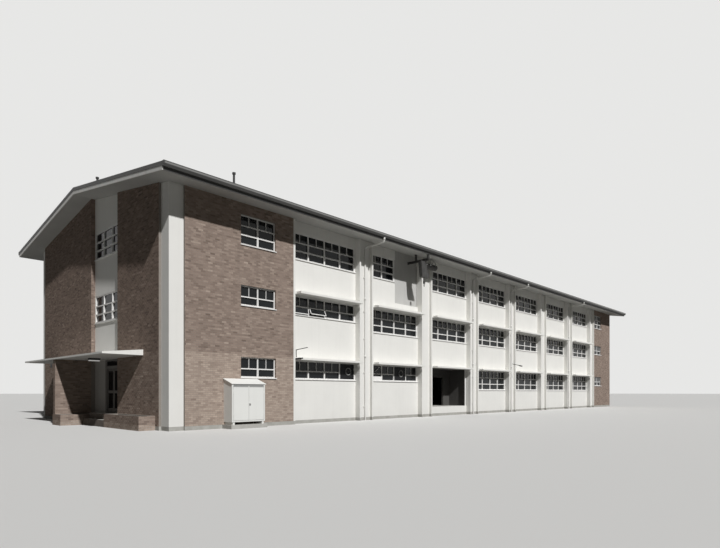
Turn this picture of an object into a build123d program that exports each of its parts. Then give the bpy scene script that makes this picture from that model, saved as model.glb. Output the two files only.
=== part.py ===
from build123d import *
import os

# Three-storey school building, built at half size (1:2).
# All lengths are model millimetres, so a real length is twice the value here.
# X runs along the front from the near end, Y runs from the front to the back,
# Z is up.  Level 0 is the foot of the near front corner pier.

# Plan
DEPTH = 8374
BAY = 3048
PILASTER_WIDTH = 596
NEAR_BRICK_END = 3450
FIN_WIDTH = 64
FAR_BRICK_LENGTH = 2488
PILASTER_COUNT = 7
GROUND_DROP = 90

# Walls
BRICK_THICKNESS = 140
PANEL_SET_BACK = 176
PANEL_THICKNESS = 60
FLANGE_WIDTH = 61
WEB_SET_BACK = 85
CORNER_PIER = 394
PIER_SET_BACK = 53
STRIP_WIDTH = 1663
STRIP_SET_BACK = 100

# Storeys
GROUND_FLOOR = 232
STOREY = 1767
SLAB_THICKNESS = 90

# Bay windows: heads above each floor, then the rows of lights from the head down
GROUND_HEAD_HEIGHT = 1339
GROUND_TOP_LIGHT = 272
GROUND_MIDDLE_LIGHT = 244
GROUND_LOW_LIGHT = 228
GROUND_NEAR_SILL_RISE = 32
FIRST_HEAD_HEIGHT = 1271
FIRST_TOP_LIGHT = 264
FIRST_MIDDLE_LIGHT = 225
FIRST_LOW_LIGHT = 218
SECOND_HEAD_HEIGHT = 1171
SECOND_TOP_LIGHT = 251
SECOND_MIDDLE_LIGHT = 220
SECOND_LOW_LIGHT = 226
BAY_UNITS = 4
BAY_JAMB = 45
DOORWAY_BAY = 3
LOADING_BAY = 2
LOADING_UNITS = 2
LOADING_BELOW_FLOOR = 197
LOADING_SET_BACK = 44

# Windows in the brick and in the stair strip
BRICK_WINDOW_WIDTH = 1040
BRICK_WINDOW_FROM_FIN = 572
BRICK_WINDOW_FROM_PILASTER = 40
BRICK_WINDOW_REVEAL = 45
BRICK_SECOND_HEIGHT = 705
BRICK_FIRST_HEIGHT = 473
BRICK_GROUND_HEIGHT = 481
BRICK_UNITS = 2
STRIP_JAMB_PANEL = 29
STRIP_UNITS = 3
STRIP_REVEAL = 5

# Window members
FRAME_REVEAL = 26
FRAME_DEPTH = 30
FRAME_BORDER = 25
MULLION = 30
TRANSOM = 22
GLASS_THICKNESS = 4

# Hoods over the ground and first floor windows
HOOD_THICKNESS = 56
HOOD_PROUD = 180
HOOD_END_INSET = 40
HOOD_ABOVE_GROUND_HEAD = 2
HOOD_ABOVE_FIRST_HEAD = 8

# Roof
EAVE_OVERHANG = 650
RAKE_OVERHANG = 450
FASCIA_ABOVE_HEAD = 159
ROOF_SLOPE = 0.1595
ROOF_BUILD_UP = 172
SHEET_THICKNESS = 16
LINING_THICKNESS = 12
FASCIA_THICKNESS = 20
GUTTER_WIDTH = 75
GUTTER_FOOT_WIDTH = 52
GUTTER_HEIGHT = 110
GUTTER_BAND = 60
GUTTER_WALL = 6
BARGE_CAPPING_HEIGHT = 87
BARGE_CAPPING_THICKNESS = 6
RIDGE_CAP_WIDTH = 150
RIDGE_CAP_THICKNESS = 6
PIPE_RADIUS = 25
PIPE_WALL_GAP = 1
PIPE_BEND = 70
PIPE_FALL = 0.03
PIPED_PILASTERS = (1, 3, 4, 6)
VENT_RADIUS = 27
VENT_CAP_RADIUS = 42
VENT_CAP_HEIGHT = 40
FRONT_VENT_X = 1918
FRONT_VENT_DEPTH = 404
FRONT_VENT_HEIGHT = 600
RIDGE_VENT_X = 76
RIDGE_VENT_FROM_RIDGE = 212
RIDGE_VENT_HEIGHT = 395

# Lifting beam under the eave at the loading opening, and the gear that hangs from it
HOIST_FROM_PILASTER = 494
HOIST_BEAM_WIDTH = 50
HOIST_BEAM_HEIGHT = 70
HOIST_FLANGE = 9
HOIST_WEB = 8
HOIST_DROP = 110
HOIST_END_GAP = 25
HANGER_LENGTH = 60
HANGER_FROM_WALL = 90
HOIST_OUT = 440
TROLLEY_WIDTH = 64
TROLLEY_LENGTH = 130
TROLLEY_HEIGHT = 60
BODY_TOP = (-230, 30)
BODY_FOOT = (-175, 200)
BODY_DEPTH = 120
BODY_DROP = 20
BODY_FOOT_DROP = 520
WINCH_RADIUS = 90
WINCH_LENGTH = 640
WINCH_DROP = 166
WINCH_OUT = 105
WINCH_BRACKET = 40
WINCH_BRACKET_HEIGHT = 120
HOOK_RADIUS = 9
HOOK_LENGTH = 196
HOOK_BLOCK_WIDTH = 72
HOOK_BLOCK_HEIGHT = 80
HOOK_TIP_RADIUS = 14
HOOK_TIP_LENGTH = 90

# Entrance at the near end
CANOPY_RIGHT_SIDE = 1388
CANOPY_LEFT_SIDE = 2476
CANOPY_REACH = 908
CANOPY_CLEAR_HEIGHT = 1340
CANOPY_ROOT = 129
CANOPY_EDGE = 40
WING_SHORT = 28
WING_THICKNESS = 130
PLANTER_WALL = 57
PLANTER_RECESS = 30
RIGHT_PLANTER_REACH = 368
RIGHT_PLANTER_START = 565
RIGHT_PLANTER_SHORT_OF_STRIP = 111
RIGHT_PLANTER_TOP = 225
LEFT_PLANTER_WIDTH = 452
LEFT_PLANTER_LAP = 20
LEFT_PLANTER_TOP = 182
LANDING_REACH = 218
LANDING_BELOW_FLOOR = 20
STEP_TREAD = 150
STEP_TOP = 75
ENTRANCE_JAMB = 106
FANLIGHT_HEIGHT = 121
LEAF_WIDTH = 394
LEAF_THICKNESS = 22
LEAF_STILE = 45
LEAF_RAIL = 48
LEAF_MIDDLE_RAIL = 70
LEAF_KICK_RAIL = 95
LEAF_MIDDLE = 508
DOOR_GAP = 6
HEAD_RAIL = 75
ENTRANCE_POST = 91
HINGE_RADIUS = 6
HINGE_LENGTH = 70
HINGE_CLEARANCE = 0.3
HINGE_PLATE = 4
HINGE_PLATE_WIDTH = 30
HINGE_FROM_EDGE = 150

# Doorway porch in the third bay
PORCH_DEPTH = 760
PORCH_WALL = 70
PORCH_DOOR_START = 820
PORCH_DOOR_WIDTH = 1230
PORCH_DOOR_HEIGHT = 1058

# Meter cabinet on the near front brick wall
CABINET_START = 1370
CABINET_WIDTH = 920
CABINET_DEPTH = 330
CABINET_FOOT = 62
CABINET_FRONT_TOP = 930
CABINET_TOP_RISE = 115
CABINET_SHEET = 10
CABINET_BORDER = 30
CABINET_LEG = 50
CABINET_HEADER = 45
CABINET_PAD_EDGE = 40
LID_THICKNESS = 12
LID_PROUD = 20
KNOB_RADIUS = 12
KNOB_LENGTH = 24

# Places worked out from the sizes above
FIRST_PILASTER = NEAR_BRICK_END + FIN_WIDTH + BAY - PILASTER_WIDTH
FAR_BRICK = FIRST_PILASTER + (PILASTER_COUNT - 1) * BAY + PILASTER_WIDTH
LENGTH = FAR_BRICK + FAR_BRICK_LENGTH
BASE = -GROUND_DROP
RIDGE = DEPTH / 2
PANEL_BACK = PANEL_SET_BACK + PANEL_THICKNESS
STRIP_END = RIDGE
STRIP_START = STRIP_END - STRIP_WIDTH
FIRST_FLOOR = GROUND_FLOOR + STOREY
SECOND_FLOOR = FIRST_FLOOR + STOREY
GROUND_HEAD = GROUND_FLOOR + GROUND_HEAD_HEIGHT
GROUND_TRANSOM = GROUND_HEAD - GROUND_TOP_LIGHT
GROUND_LOW_TRANSOM = GROUND_TRANSOM - GROUND_MIDDLE_LIGHT
GROUND_SILL = GROUND_LOW_TRANSOM - GROUND_LOW_LIGHT
FIRST_HEAD = FIRST_FLOOR + FIRST_HEAD_HEIGHT
FIRST_TRANSOM = FIRST_HEAD - FIRST_TOP_LIGHT
FIRST_LOW_TRANSOM = FIRST_TRANSOM - FIRST_MIDDLE_LIGHT
FIRST_SILL = FIRST_LOW_TRANSOM - FIRST_LOW_LIGHT
SECOND_HEAD = SECOND_FLOOR + SECOND_HEAD_HEIGHT
SECOND_TRANSOM = SECOND_HEAD - SECOND_TOP_LIGHT
SECOND_LOW_TRANSOM = SECOND_TRANSOM - SECOND_MIDDLE_LIGHT
SECOND_SILL = SECOND_LOW_TRANSOM - SECOND_LOW_LIGHT
GROUND_HOOD = GROUND_HEAD + HOOD_ABOVE_GROUND_HEAD
FIRST_HOOD = FIRST_HEAD + HOOD_ABOVE_FIRST_HEAD
LOADING_SILL = SECOND_FLOOR - LOADING_BELOW_FLOOR
FASCIA_FOOT = SECOND_HEAD + FASCIA_ABOVE_HEAD
WALL_TOP = FASCIA_FOOT + ROOF_SLOPE * (RIDGE + EAVE_OVERHANG)
CANOPY_START = STRIP_START - CANOPY_RIGHT_SIDE
CANOPY_END = STRIP_END + CANOPY_LEFT_SIDE
CANOPY_UNDERSIDE = GROUND_FLOOR + CANOPY_CLEAR_HEIGHT
WING_REACH = CANOPY_REACH - WING_SHORT
RIGHT_PLANTER_END = STRIP_START - RIGHT_PLANTER_SHORT_OF_STRIP
LEFT_PLANTER_START = STRIP_END - LEFT_PLANTER_WIDTH
LEFT_PLANTER_REACH = WING_REACH + LEFT_PLANTER_LAP
LANDING_TOP = GROUND_FLOOR - LANDING_BELOW_FLOOR
DOOR_CENTRE = STRIP_START + ENTRANCE_JAMB + LEAF_WIDTH
FANLIGHT_TOP = CANOPY_UNDERSIDE - LEAF_RAIL
FANLIGHT_FOOT = FANLIGHT_TOP - FANLIGHT_HEIGHT
LEAF_TOP = FANLIGHT_FOOT - HEAD_RAIL - DOOR_GAP
CABINET_BACK_TOP = CABINET_FRONT_TOP + CABINET_TOP_RISE
NEAR_REACH = max(CANOPY_REACH, LEFT_PLANTER_REACH, RAKE_OVERHANG)
FAR_REACH = RAKE_OVERHANG + BARGE_CAPPING_THICKNESS
CENTRE_X = (LENGTH + FAR_REACH - NEAR_REACH) / 2
TO_ORIGIN = Pos(-CENTRE_X, -DEPTH / 2, GROUND_DROP)
SIDES = ("front", "back")


def block(x0, x1, y0, y1, z0, z1):
    """Box between two corners."""
    size = (x1 - x0, y1 - y0, z1 - z0)
    return Pos(x0, y0, z0) * Box(*size, align=(Align.MIN, Align.MIN, Align.MIN))


def on(face, a0, a1, d0, d1, z0, z1):
    """Box on one face of the building: a runs along it, d runs inward."""
    if face == "front":
        return block(a0, a1, d0, d1, z0, z1)
    if face == "back":
        return block(a0, a1, DEPTH - d1, DEPTH - d0, z0, z1)
    if face == "near":
        return block(d0, d1, a0, a1, z0, z1)
    return block(LENGTH - d1, LENGTH - d0, a0, a1, z0, z1)


def prism(points, x0, x1):
    """Outline of Y and Z points, drawn out along X."""
    outline = Plane.YZ.offset(x0) * make_face(Polyline(*points, close=True))
    return extrude(outline, x1 - x0, dir=(1, 0, 0))


def prism_y(points, y0, y1):
    """Outline of X and Z points, drawn out along Y."""
    outline = make_face(Polyline(*[(x, y0, z) for x, z in points], close=True))
    return extrude(outline, y1 - y0, dir=(0, 1, 0))


def soffit(y):
    """Height of the underside of the roof lining at depth y."""
    return FASCIA_FOOT + ROOF_SLOPE * (EAVE_OVERHANG + min(y, DEPTH - y))


def roof_layer(y0, y1, low, high, x0, x1):
    """Sloped sheet between two heights above the lining's underside."""
    ys = [y0, y1] if (y0 - RIDGE) * (y1 - RIDGE) >= 0 else [y0, RIDGE, y1]
    bottom = [(y, soffit(y) + low) for y in ys]
    top = [(y, soffit(y) + high) for y in reversed(ys)]
    return prism(bottom + top, x0, x1)


def save(name, *solids):
    """Write one named piece in the part's own frame."""
    placed = [TO_ORIGIN * solid for solid in solids]
    shape = placed[0] if len(placed) == 1 else Compound(children=placed)
    export_step(shape, f"parts/{name}.step")


UNDER_ROOF = prism(
    [
        (-EAVE_OVERHANG, BASE),
        (-EAVE_OVERHANG, soffit(-EAVE_OVERHANG)),
        (RIDGE, soffit(RIDGE)),
        (DEPTH + EAVE_OVERHANG, soffit(DEPTH + EAVE_OVERHANG)),
        (DEPTH + EAVE_OVERHANG, BASE),
    ],
    -RAKE_OVERHANG,
    LENGTH + RAKE_OVERHANG,
)


def under_roof(shape):
    """Trim a wall to the slope of the lining."""
    return shape & UNDER_ROOF


def pilaster_start(number):
    return FIRST_PILASTER + (number - 1) * BAY


def bay_span(number):
    """Clear width between pilasters; bay 1 starts at the edge fin."""
    start = pilaster_start(number) - BAY + PILASTER_WIDTH
    return start, pilaster_start(number)


def loading_edge():
    """Where the window stops and the loading panel starts."""
    start, end = bay_span(LOADING_BAY)
    unit = (end - start - 2 * BAY_JAMB - (BAY_UNITS - 1) * MULLION) / BAY_UNITS
    return start + BAY_JAMB + LOADING_UNITS * (unit + MULLION)


def bay_windows(side, storey):
    """Window outlines in the bays: start, end, sill, head, units, transoms, jamb."""
    windows = []
    for number in range(1, PILASTER_COUNT + 1):
        start, end = bay_span(number)
        units = BAY_UNITS
        jamb = BAY_JAMB
        if storey == "second":
            sill, head = SECOND_SILL, SECOND_HEAD
            transoms = (SECOND_LOW_TRANSOM, SECOND_TRANSOM)
            if side == "front" and number == LOADING_BAY:
                end = loading_edge()
                units = LOADING_UNITS
        elif storey == "first":
            sill, head = FIRST_SILL, FIRST_HEAD
            transoms = (FIRST_LOW_TRANSOM, FIRST_TRANSOM)
            if side == "front" and number == 1:
                sill, transoms = FIRST_LOW_TRANSOM, (FIRST_TRANSOM,)
        else:
            sill, head = GROUND_SILL, GROUND_HEAD
            transoms = (GROUND_LOW_TRANSOM, GROUND_TRANSOM)
            if side == "front" and number == DOORWAY_BAY:
                continue
            if side == "front" and number < DOORWAY_BAY:
                sill, transoms = GROUND_LOW_TRANSOM + GROUND_NEAR_SILL_RISE, (GROUND_TRANSOM,)
        windows.append((start, end, sill, head, units, transoms, jamb))
    return windows


def brick_windows(side):
    """Window outlines in the brick at both ends of a long side."""
    near = NEAR_BRICK_END - BRICK_WINDOW_FROM_FIN - BRICK_WINDOW_WIDTH
    windows = []
    for start in (near, FAR_BRICK + BRICK_WINDOW_FROM_PILASTER):
        end = start + BRICK_WINDOW_WIDTH
        for height, head, transoms in (
            (BRICK_SECOND_HEIGHT, SECOND_HEAD, (SECOND_LOW_TRANSOM, SECOND_TRANSOM)),
            (BRICK_FIRST_HEIGHT, FIRST_HEAD, (FIRST_TRANSOM,)),
            (BRICK_GROUND_HEIGHT, GROUND_HEAD, (GROUND_TRANSOM,)),
        ):
            sill = head - height
            windows.append((start, end, sill, head, BRICK_UNITS, transoms, FRAME_BORDER))
    return windows


def strip_windows(face):
    """Window outlines in the painted strip of an end wall."""
    start = STRIP_START + STRIP_JAMB_PANEL
    end = STRIP_END - STRIP_JAMB_PANEL
    levels = [
        (SECOND_SILL, SECOND_HEAD, (SECOND_LOW_TRANSOM, SECOND_TRANSOM)),
        (FIRST_SILL, FIRST_HEAD, (FIRST_LOW_TRANSOM, FIRST_TRANSOM)),
    ]
    if face == "far":
        levels.append((GROUND_SILL, GROUND_HEAD, (GROUND_LOW_TRANSOM, GROUND_TRANSOM)))
    return [
        (start, end, sill, head, STRIP_UNITS, transoms, FRAME_BORDER)
        for sill, head, transoms in levels
    ]


def window_frame(face, outline, depth):
    """Outer frame with its mullions and transoms."""
    start, end, sill, head, units, transoms, jamb = outline
    frame = on(face, start, end, depth, depth + FRAME_DEPTH, sill, head)
    inner = end - start - 2 * jamb
    width = (inner - (units - 1) * MULLION) / units
    levels = [sill + FRAME_BORDER]
    for height in transoms:
        levels += [height - TRANSOM / 2, height + TRANSOM / 2]
    levels.append(head - FRAME_BORDER)
    panes = []
    for unit in range(units):
        a0 = start + jamb + unit * (width + MULLION)
        for low, high in zip(levels[::2], levels[1::2]):
            panes.append(on(face, a0, a0 + width, depth, depth + FRAME_DEPTH, low, high))
    return frame - panes


def window_glass(face, outline, depth):
    """Sheet of glass behind one frame."""
    start, end, sill, head = outline[:4]
    back = depth + FRAME_DEPTH
    return on(face, start, end, back, back + GLASS_THICKNESS, sill, head)


def floor_slab(top):
    """Slab inside the walls, reaching the panels and the brick."""
    bottom = top - SLAB_THICKNESS
    x0, x1 = BRICK_THICKNESS, LENGTH - BRICK_THICKNESS
    y0, y1 = BRICK_THICKNESS, DEPTH - BRICK_THICKNESS
    slab = block(x0, x1, PANEL_BACK, DEPTH - PANEL_BACK, bottom, top)
    slab += block(x0, NEAR_BRICK_END, y0, y1, bottom, top)
    return slab + block(FAR_BRICK, x1, y0, y1, bottom, top)


def brick_wall(side, near):
    """Brick at one end of a long side, with its windows cut through."""
    x0, x1 = (CORNER_PIER, NEAR_BRICK_END) if near else (FAR_BRICK, LENGTH)
    wall = on(side, x0, x1, 0, BRICK_THICKNESS, BASE, WALL_TOP)
    holes = []
    for start, end, sill, head, *rest in brick_windows(side):
        if x0 < start < x1:
            holes.append(on(side, start, end, 0, BRICK_THICKNESS, sill, head))
    return under_roof(wall - holes)


def end_wall(face, y0, y1):
    """Brick of an end wall, with its top on the roof slope."""
    return under_roof(on(face, y0, y1, 0, BRICK_THICKNESS, BASE, WALL_TOP))


def strip_wall(face, foot):
    """Painted strip between the brick of an end wall."""
    wall = on(face, STRIP_START, STRIP_END, STRIP_SET_BACK, BRICK_THICKNESS, foot, WALL_TOP)
    holes = []
    for start, end, sill, head, *rest in strip_windows(face):
        holes.append(on(face, start, end, STRIP_SET_BACK, BRICK_THICKNESS, sill, head))
    return under_roof(wall - holes)


def corner_pier(side):
    """Angle-shaped pier in the near corner, set back from both brick faces."""
    leg = on(side, PIER_SET_BACK, CORNER_PIER, PIER_SET_BACK, BRICK_THICKNESS, BASE, WALL_TOP)
    leg += on(side, PIER_SET_BACK, BRICK_THICKNESS, PIER_SET_BACK, CORNER_PIER, BASE, WALL_TOP)
    return under_roof(leg)


def pilaster(side, number):
    """Channel-shaped pilaster: two flanges and a web set back between them."""
    start = pilaster_start(number)
    end = start + PILASTER_WIDTH
    shaft = on(side, start, end, 0, PANEL_BACK, BASE, WALL_TOP)
    groove = (start + FLANGE_WIDTH, end - FLANGE_WIDTH, 0, WEB_SET_BACK, BASE, WALL_TOP)
    return under_roof(shaft - on(side, *groove))


def edge_fin(side):
    """Thin fin between the near brick and the first bay."""
    end = NEAR_BRICK_END + FIN_WIDTH
    return under_roof(on(side, NEAR_BRICK_END, end, 0, PANEL_BACK, BASE, WALL_TOP))


def panel(side, start, end, low, high):
    """Flat panel between two pilasters."""
    return under_roof(on(side, start, end, PANEL_SET_BACK, PANEL_BACK, low, high))


def ground_panels(side):
    panels = [
        panel(side, start, end, BASE, sill)
        for start, end, sill, *rest in bay_windows(side, "ground")
    ]
    if side == "front":
        start, end = bay_span(DOORWAY_BAY)
        panels.append(panel(side, start, end, BASE, GROUND_FLOOR))
    return panels


def first_panels(side):
    """Panels from the ground floor heads to the first floor sills."""
    return [
        panel(side, start, end, GROUND_HEAD, sill)
        for start, end, sill, *rest in bay_windows(side, "first")
    ]


def second_panels(side):
    """Panels from the first floor heads to the second floor sills."""
    panels = []
    for number, outline in enumerate(bay_windows(side, "second"), start=1):
        start, end = bay_span(number)
        shape = panel(side, start, end, FIRST_HEAD, SECOND_SILL)
        if side == "front" and number == LOADING_BAY:
            shape -= panel(side, loading_edge(), end, LOADING_SILL, SECOND_SILL)
        panels.append(shape)
    return panels


def eaves_panels(side):
    """Panels from the second floor heads to the roof lining."""
    return [
        panel(side, start, end, SECOND_HEAD, WALL_TOP)
        for start, end, *rest in bay_windows(side, "second")
    ]


def loading_panel():
    """Sheeted-up loading opening beside the second pilaster."""
    end = bay_span(LOADING_BAY)[1]
    front = PANEL_SET_BACK + LOADING_SET_BACK
    return under_roof(block(loading_edge(), end, front, PANEL_BACK, LOADING_SILL, WALL_TOP))


def hoods(side):
    """Hoods between the pilasters over two rows of windows, narrower in front of them."""
    pieces = []
    for number in range(1, PILASTER_COUNT + 1):
        start, end = bay_span(number)
        for foot in (GROUND_HOOD, FIRST_HOOD):
            top = foot + HOOD_THICKNESS
            slab = on(side, start, end, 0, PANEL_SET_BACK, foot, top)
            outer = (start + HOOD_END_INSET, end - HOOD_END_INSET, -HOOD_PROUD, 0)
            pieces.append(slab + on(side, *outer, foot, top))
    return pieces


def bay_frames(side, storey):
    depth = PANEL_SET_BACK + FRAME_REVEAL
    return [window_frame(side, outline, depth) for outline in bay_windows(side, storey)]


def bay_glass(side):
    depth = PANEL_SET_BACK + FRAME_REVEAL
    return [
        window_glass(side, outline, depth)
        for storey in ("ground", "first", "second")
        for outline in bay_windows(side, storey)
    ]


def fascia(side):
    x0, x1 = FASCIA_THICKNESS - RAKE_OVERHANG, LENGTH + RAKE_OVERHANG - FASCIA_THICKNESS
    outer = -EAVE_OVERHANG
    top = ROOF_BUILD_UP - SHEET_THICKNESS
    board = roof_layer(outer, outer + FASCIA_THICKNESS, 0, top, x0, x1)
    return board if side == "front" else mirrored(board)


def mirrored(shape):
    """The same piece on the back half of the building."""
    return mirror(shape, about=Plane.XZ.offset(-DEPTH / 2))


def gutter_outline(wall):
    """Section of the gutter, or of its inside when wall is its thickness."""
    top = FASCIA_FOOT + ROOF_BUILD_UP
    foot = top - GUTTER_HEIGHT + wall
    back = -EAVE_OVERHANG - wall
    return [
        (back, top),
        (back, foot),
        (-EAVE_OVERHANG - GUTTER_FOOT_WIDTH + wall, foot),
        (-EAVE_OVERHANG - GUTTER_WIDTH + wall, top - GUTTER_BAND),
        (-EAVE_OVERHANG - GUTTER_WIDTH + wall, top),
    ]


def gutter(side):
    """Gutter on the fascia, open at the top, past the barge ends, with its foot drawn in."""
    x0, x1 = -RAKE_OVERHANG - BARGE_CAPPING_THICKNESS, LENGTH + FAR_REACH
    trough = prism(gutter_outline(0), x0, x1)
    trough -= prism(gutter_outline(GUTTER_WALL), x0 + GUTTER_WALL, x1 - GUTTER_WALL)
    return trough if side == "front" else mirrored(trough)


def barge(near):
    """Raking board that closes the roof at one end."""
    x0 = -RAKE_OVERHANG if near else LENGTH + RAKE_OVERHANG - FASCIA_THICKNESS
    ends = (-EAVE_OVERHANG, DEPTH + EAVE_OVERHANG)
    return roof_layer(*ends, 0, ROOF_BUILD_UP, x0, x0 + FASCIA_THICKNESS)


def barge_capping(near):
    """Metal capping over the upper half of a raking board."""
    x0 = -RAKE_OVERHANG - BARGE_CAPPING_THICKNESS if near else LENGTH + RAKE_OVERHANG
    ends = (-EAVE_OVERHANG, DEPTH + EAVE_OVERHANG)
    low = ROOF_BUILD_UP - BARGE_CAPPING_HEIGHT
    return roof_layer(*ends, low, ROOF_BUILD_UP, x0, x0 + BARGE_CAPPING_THICKNESS)


def slope_span(side):
    if side == "front":
        return -EAVE_OVERHANG, RIDGE
    return RIDGE, DEPTH + EAVE_OVERHANG


def roof_sheet(side):
    x0, x1 = FASCIA_THICKNESS - RAKE_OVERHANG, LENGTH + RAKE_OVERHANG - FASCIA_THICKNESS
    low = ROOF_BUILD_UP - SHEET_THICKNESS
    return roof_layer(*slope_span(side), low, ROOF_BUILD_UP, x0, x1)


def roof_lining(side):
    """Raked soffit that carries on indoors as the top ceiling."""
    x0, x1 = FASCIA_THICKNESS - RAKE_OVERHANG, LENGTH + RAKE_OVERHANG - FASCIA_THICKNESS
    y0, y1 = slope_span(side)
    if side == "front":
        y0 += FASCIA_THICKNESS
    else:
        y1 -= FASCIA_THICKNESS
    return roof_layer(y0, y1, 0, LINING_THICKNESS, x0, x1)


def ridge_cap():
    y0, y1 = RIDGE - RIDGE_CAP_WIDTH, RIDGE + RIDGE_CAP_WIDTH
    low, high = ROOF_BUILD_UP, ROOF_BUILD_UP + RIDGE_CAP_THICKNESS
    return roof_layer(y0, y1, low, high, -RAKE_OVERHANG, LENGTH + RAKE_OVERHANG)


def downpipe(side, number):
    """Pipe from the gutter back to the pilaster and down its web."""
    x = pilaster_start(number) + PILASTER_WIDTH / 2
    outlet = -EAVE_OVERHANG - GUTTER_FOOT_WIDTH / 2
    wall = WEB_SET_BACK - PIPE_RADIUS - PIPE_WALL_GAP
    top = FASCIA_FOOT + ROOF_BUILD_UP - GUTTER_HEIGHT
    neck = FASCIA_FOOT - PIPE_BEND
    knee = neck - (wall - outlet) * PIPE_FALL
    points = [(x, outlet, top), (x, outlet, neck), (x, wall, knee), (x, wall, BASE)]
    path = FilletPolyline(*points, radius=PIPE_BEND)
    section = Plane(origin=points[0], z_dir=(0, 0, -1)) * Circle(PIPE_RADIUS)
    pipe = sweep(section, path=path)
    return pipe if side == "front" else mirrored(pipe)


def roof_vent(x, y, height):
    """Vent pipe with a wider cap, standing on the roof sheet."""
    foot = soffit(y) + ROOF_BUILD_UP
    lift = foot - 2 * VENT_RADIUS
    pipe = Pos(x, y, lift) * Cylinder(
        VENT_RADIUS, height + 2 * VENT_RADIUS, align=(Align.CENTER, Align.CENTER, Align.MIN)
    )
    cap = Pos(x, y, foot + height) * Cylinder(
        VENT_CAP_RADIUS, VENT_CAP_HEIGHT, align=(Align.CENTER, Align.CENTER, Align.MAX)
    )
    above = roof_layer(-EAVE_OVERHANG, DEPTH + EAVE_OVERHANG, ROOF_BUILD_UP,
                       ROOF_BUILD_UP + 2 * height, x - 2 * VENT_CAP_RADIUS,
                       x + 2 * VENT_CAP_RADIUS)
    return (pipe + cap) & above


def hoist_line():
    """Centre line of the lifting beam along X, and the beam's foot."""
    x = pilaster_start(LOADING_BAY) - HOIST_FROM_PILASTER
    return x, FASCIA_FOOT - HOIST_DROP - HOIST_BEAM_HEIGHT


def hoist_beam():
    """I-shaped beam from the loading panel to the eave, hung from the lining."""
    x, foot = hoist_line()
    top = foot + HOIST_BEAM_HEIGHT
    half = HOIST_BEAM_WIDTH / 2
    y0, y1 = HOIST_END_GAP - EAVE_OVERHANG, PANEL_SET_BACK + LOADING_SET_BACK
    beam = block(x - half, x + half, y0, y1, foot, foot + HOIST_FLANGE)
    beam += block(x - half, x + half, y0, y1, top - HOIST_FLANGE, top)
    beam += block(x - HOIST_WEB / 2, x + HOIST_WEB / 2, y0, y1, foot, top)
    for start in (y0, -HANGER_FROM_WALL - HANGER_LENGTH):
        end = start + HANGER_LENGTH
        beam += under_roof(block(x - half, x + half, start, end, top, WALL_TOP))
    return beam


def hoist_block():
    """Trolley, leaning housing and hook under the lifting beam."""
    x, foot = hoist_line()
    y = -HOIST_OUT
    top, low = foot - BODY_DROP, foot - BODY_FOOT_DROP
    trolley = block(x - TROLLEY_WIDTH / 2, x + TROLLEY_WIDTH / 2,
                    y - TROLLEY_LENGTH / 2, y + TROLLEY_LENGTH / 2, foot - TROLLEY_HEIGHT, foot)
    section = [
        (x + BODY_FOOT[0], low),
        (x + BODY_FOOT[1], low),
        (x + BODY_TOP[1], top),
        (x + BODY_TOP[0], top),
    ]
    body = prism_y(section, y - BODY_DEPTH / 2, y + BODY_DEPTH / 2)
    rod_foot = low - HOOK_LENGTH
    rod = Pos(x, y, rod_foot) * Cylinder(
        HOOK_RADIUS, HOOK_LENGTH + HOOK_RADIUS, align=(Align.CENTER, Align.CENTER, Align.MIN)
    )
    half = HOOK_BLOCK_WIDTH / 2
    hook = block(x - half, x + half, y - half / 2, y + half / 2, rod_foot, rod_foot + HOOK_BLOCK_HEIGHT)
    tip = Pos(x, y, rod_foot - HOOK_TIP_LENGTH) * Cylinder(
        HOOK_TIP_RADIUS, HOOK_TIP_LENGTH + HOOK_RADIUS,
        align=(Align.CENTER, Align.CENTER, Align.MIN),
    )
    return trolley + body + rod + hook + tip


def winch():
    """Winch drum on two brackets at the head of the pilaster beside the loading panel."""
    x = pilaster_start(LOADING_BAY) + PILASTER_WIDTH / 2
    z = FASCIA_FOOT - WINCH_DROP
    drum = Pos(x, -WINCH_OUT, z) * Rot(0, 90, 0) * Cylinder(WINCH_RADIUS, WINCH_LENGTH)
    half = WINCH_BRACKET_HEIGHT / 2
    for start in (x - PILASTER_WIDTH / 2, x + PILASTER_WIDTH / 2 - WINCH_BRACKET):
        drum += block(start, start + WINCH_BRACKET, -WINCH_OUT, 0, z - half, z + half)
    return drum


def canopy():
    """Tapered slab over the entrance."""
    top = CANOPY_UNDERSIDE + CANOPY_ROOT
    section = [
        (0, CANOPY_UNDERSIDE),
        (0, top),
        (-CANOPY_REACH, CANOPY_UNDERSIDE + CANOPY_EDGE),
        (-CANOPY_REACH, CANOPY_UNDERSIDE),
    ]
    slab = prism_y(section, CANOPY_START, CANOPY_END)
    return slab + block(0, STRIP_SET_BACK, STRIP_START, STRIP_END, CANOPY_UNDERSIDE, top)


def wing_wall():
    """Brick wall that carries the canopy beside the entrance."""
    end = STRIP_END + WING_THICKNESS
    return block(-WING_REACH, 0, STRIP_END, end, BASE, CANOPY_UNDERSIDE)


def planter(x0, y0, y1, top):
    """Low brick box with a sunk bed."""
    box = block(x0, 0, y0, y1, BASE, top)
    edge = PLANTER_WALL
    return box - block(x0 + edge, -edge, y0 + edge, y1 - edge, top - PLANTER_RECESS, top)


def left_planter():
    """Low brick box beside the wing wall, lapping its outer end."""
    box = planter(-LEFT_PLANTER_REACH, LEFT_PLANTER_START, STRIP_END, LEFT_PLANTER_TOP)
    lap_end = STRIP_END + WING_THICKNESS
    return box + block(-LEFT_PLANTER_REACH, -WING_REACH, STRIP_END, lap_end, BASE, LEFT_PLANTER_TOP)


def landing():
    """Entrance landing with one lower step between the planters."""
    y0, y1 = RIGHT_PLANTER_END, LEFT_PLANTER_START
    slab = block(-LANDING_REACH, 0, y0, y1, BASE, LANDING_TOP)
    slab += block(0, STRIP_SET_BACK, STRIP_START, STRIP_END, BASE, LANDING_TOP)
    foot = -LANDING_REACH - STEP_TREAD
    return slab + block(foot, -LANDING_REACH, y0, y1, BASE, STEP_TOP)


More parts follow.
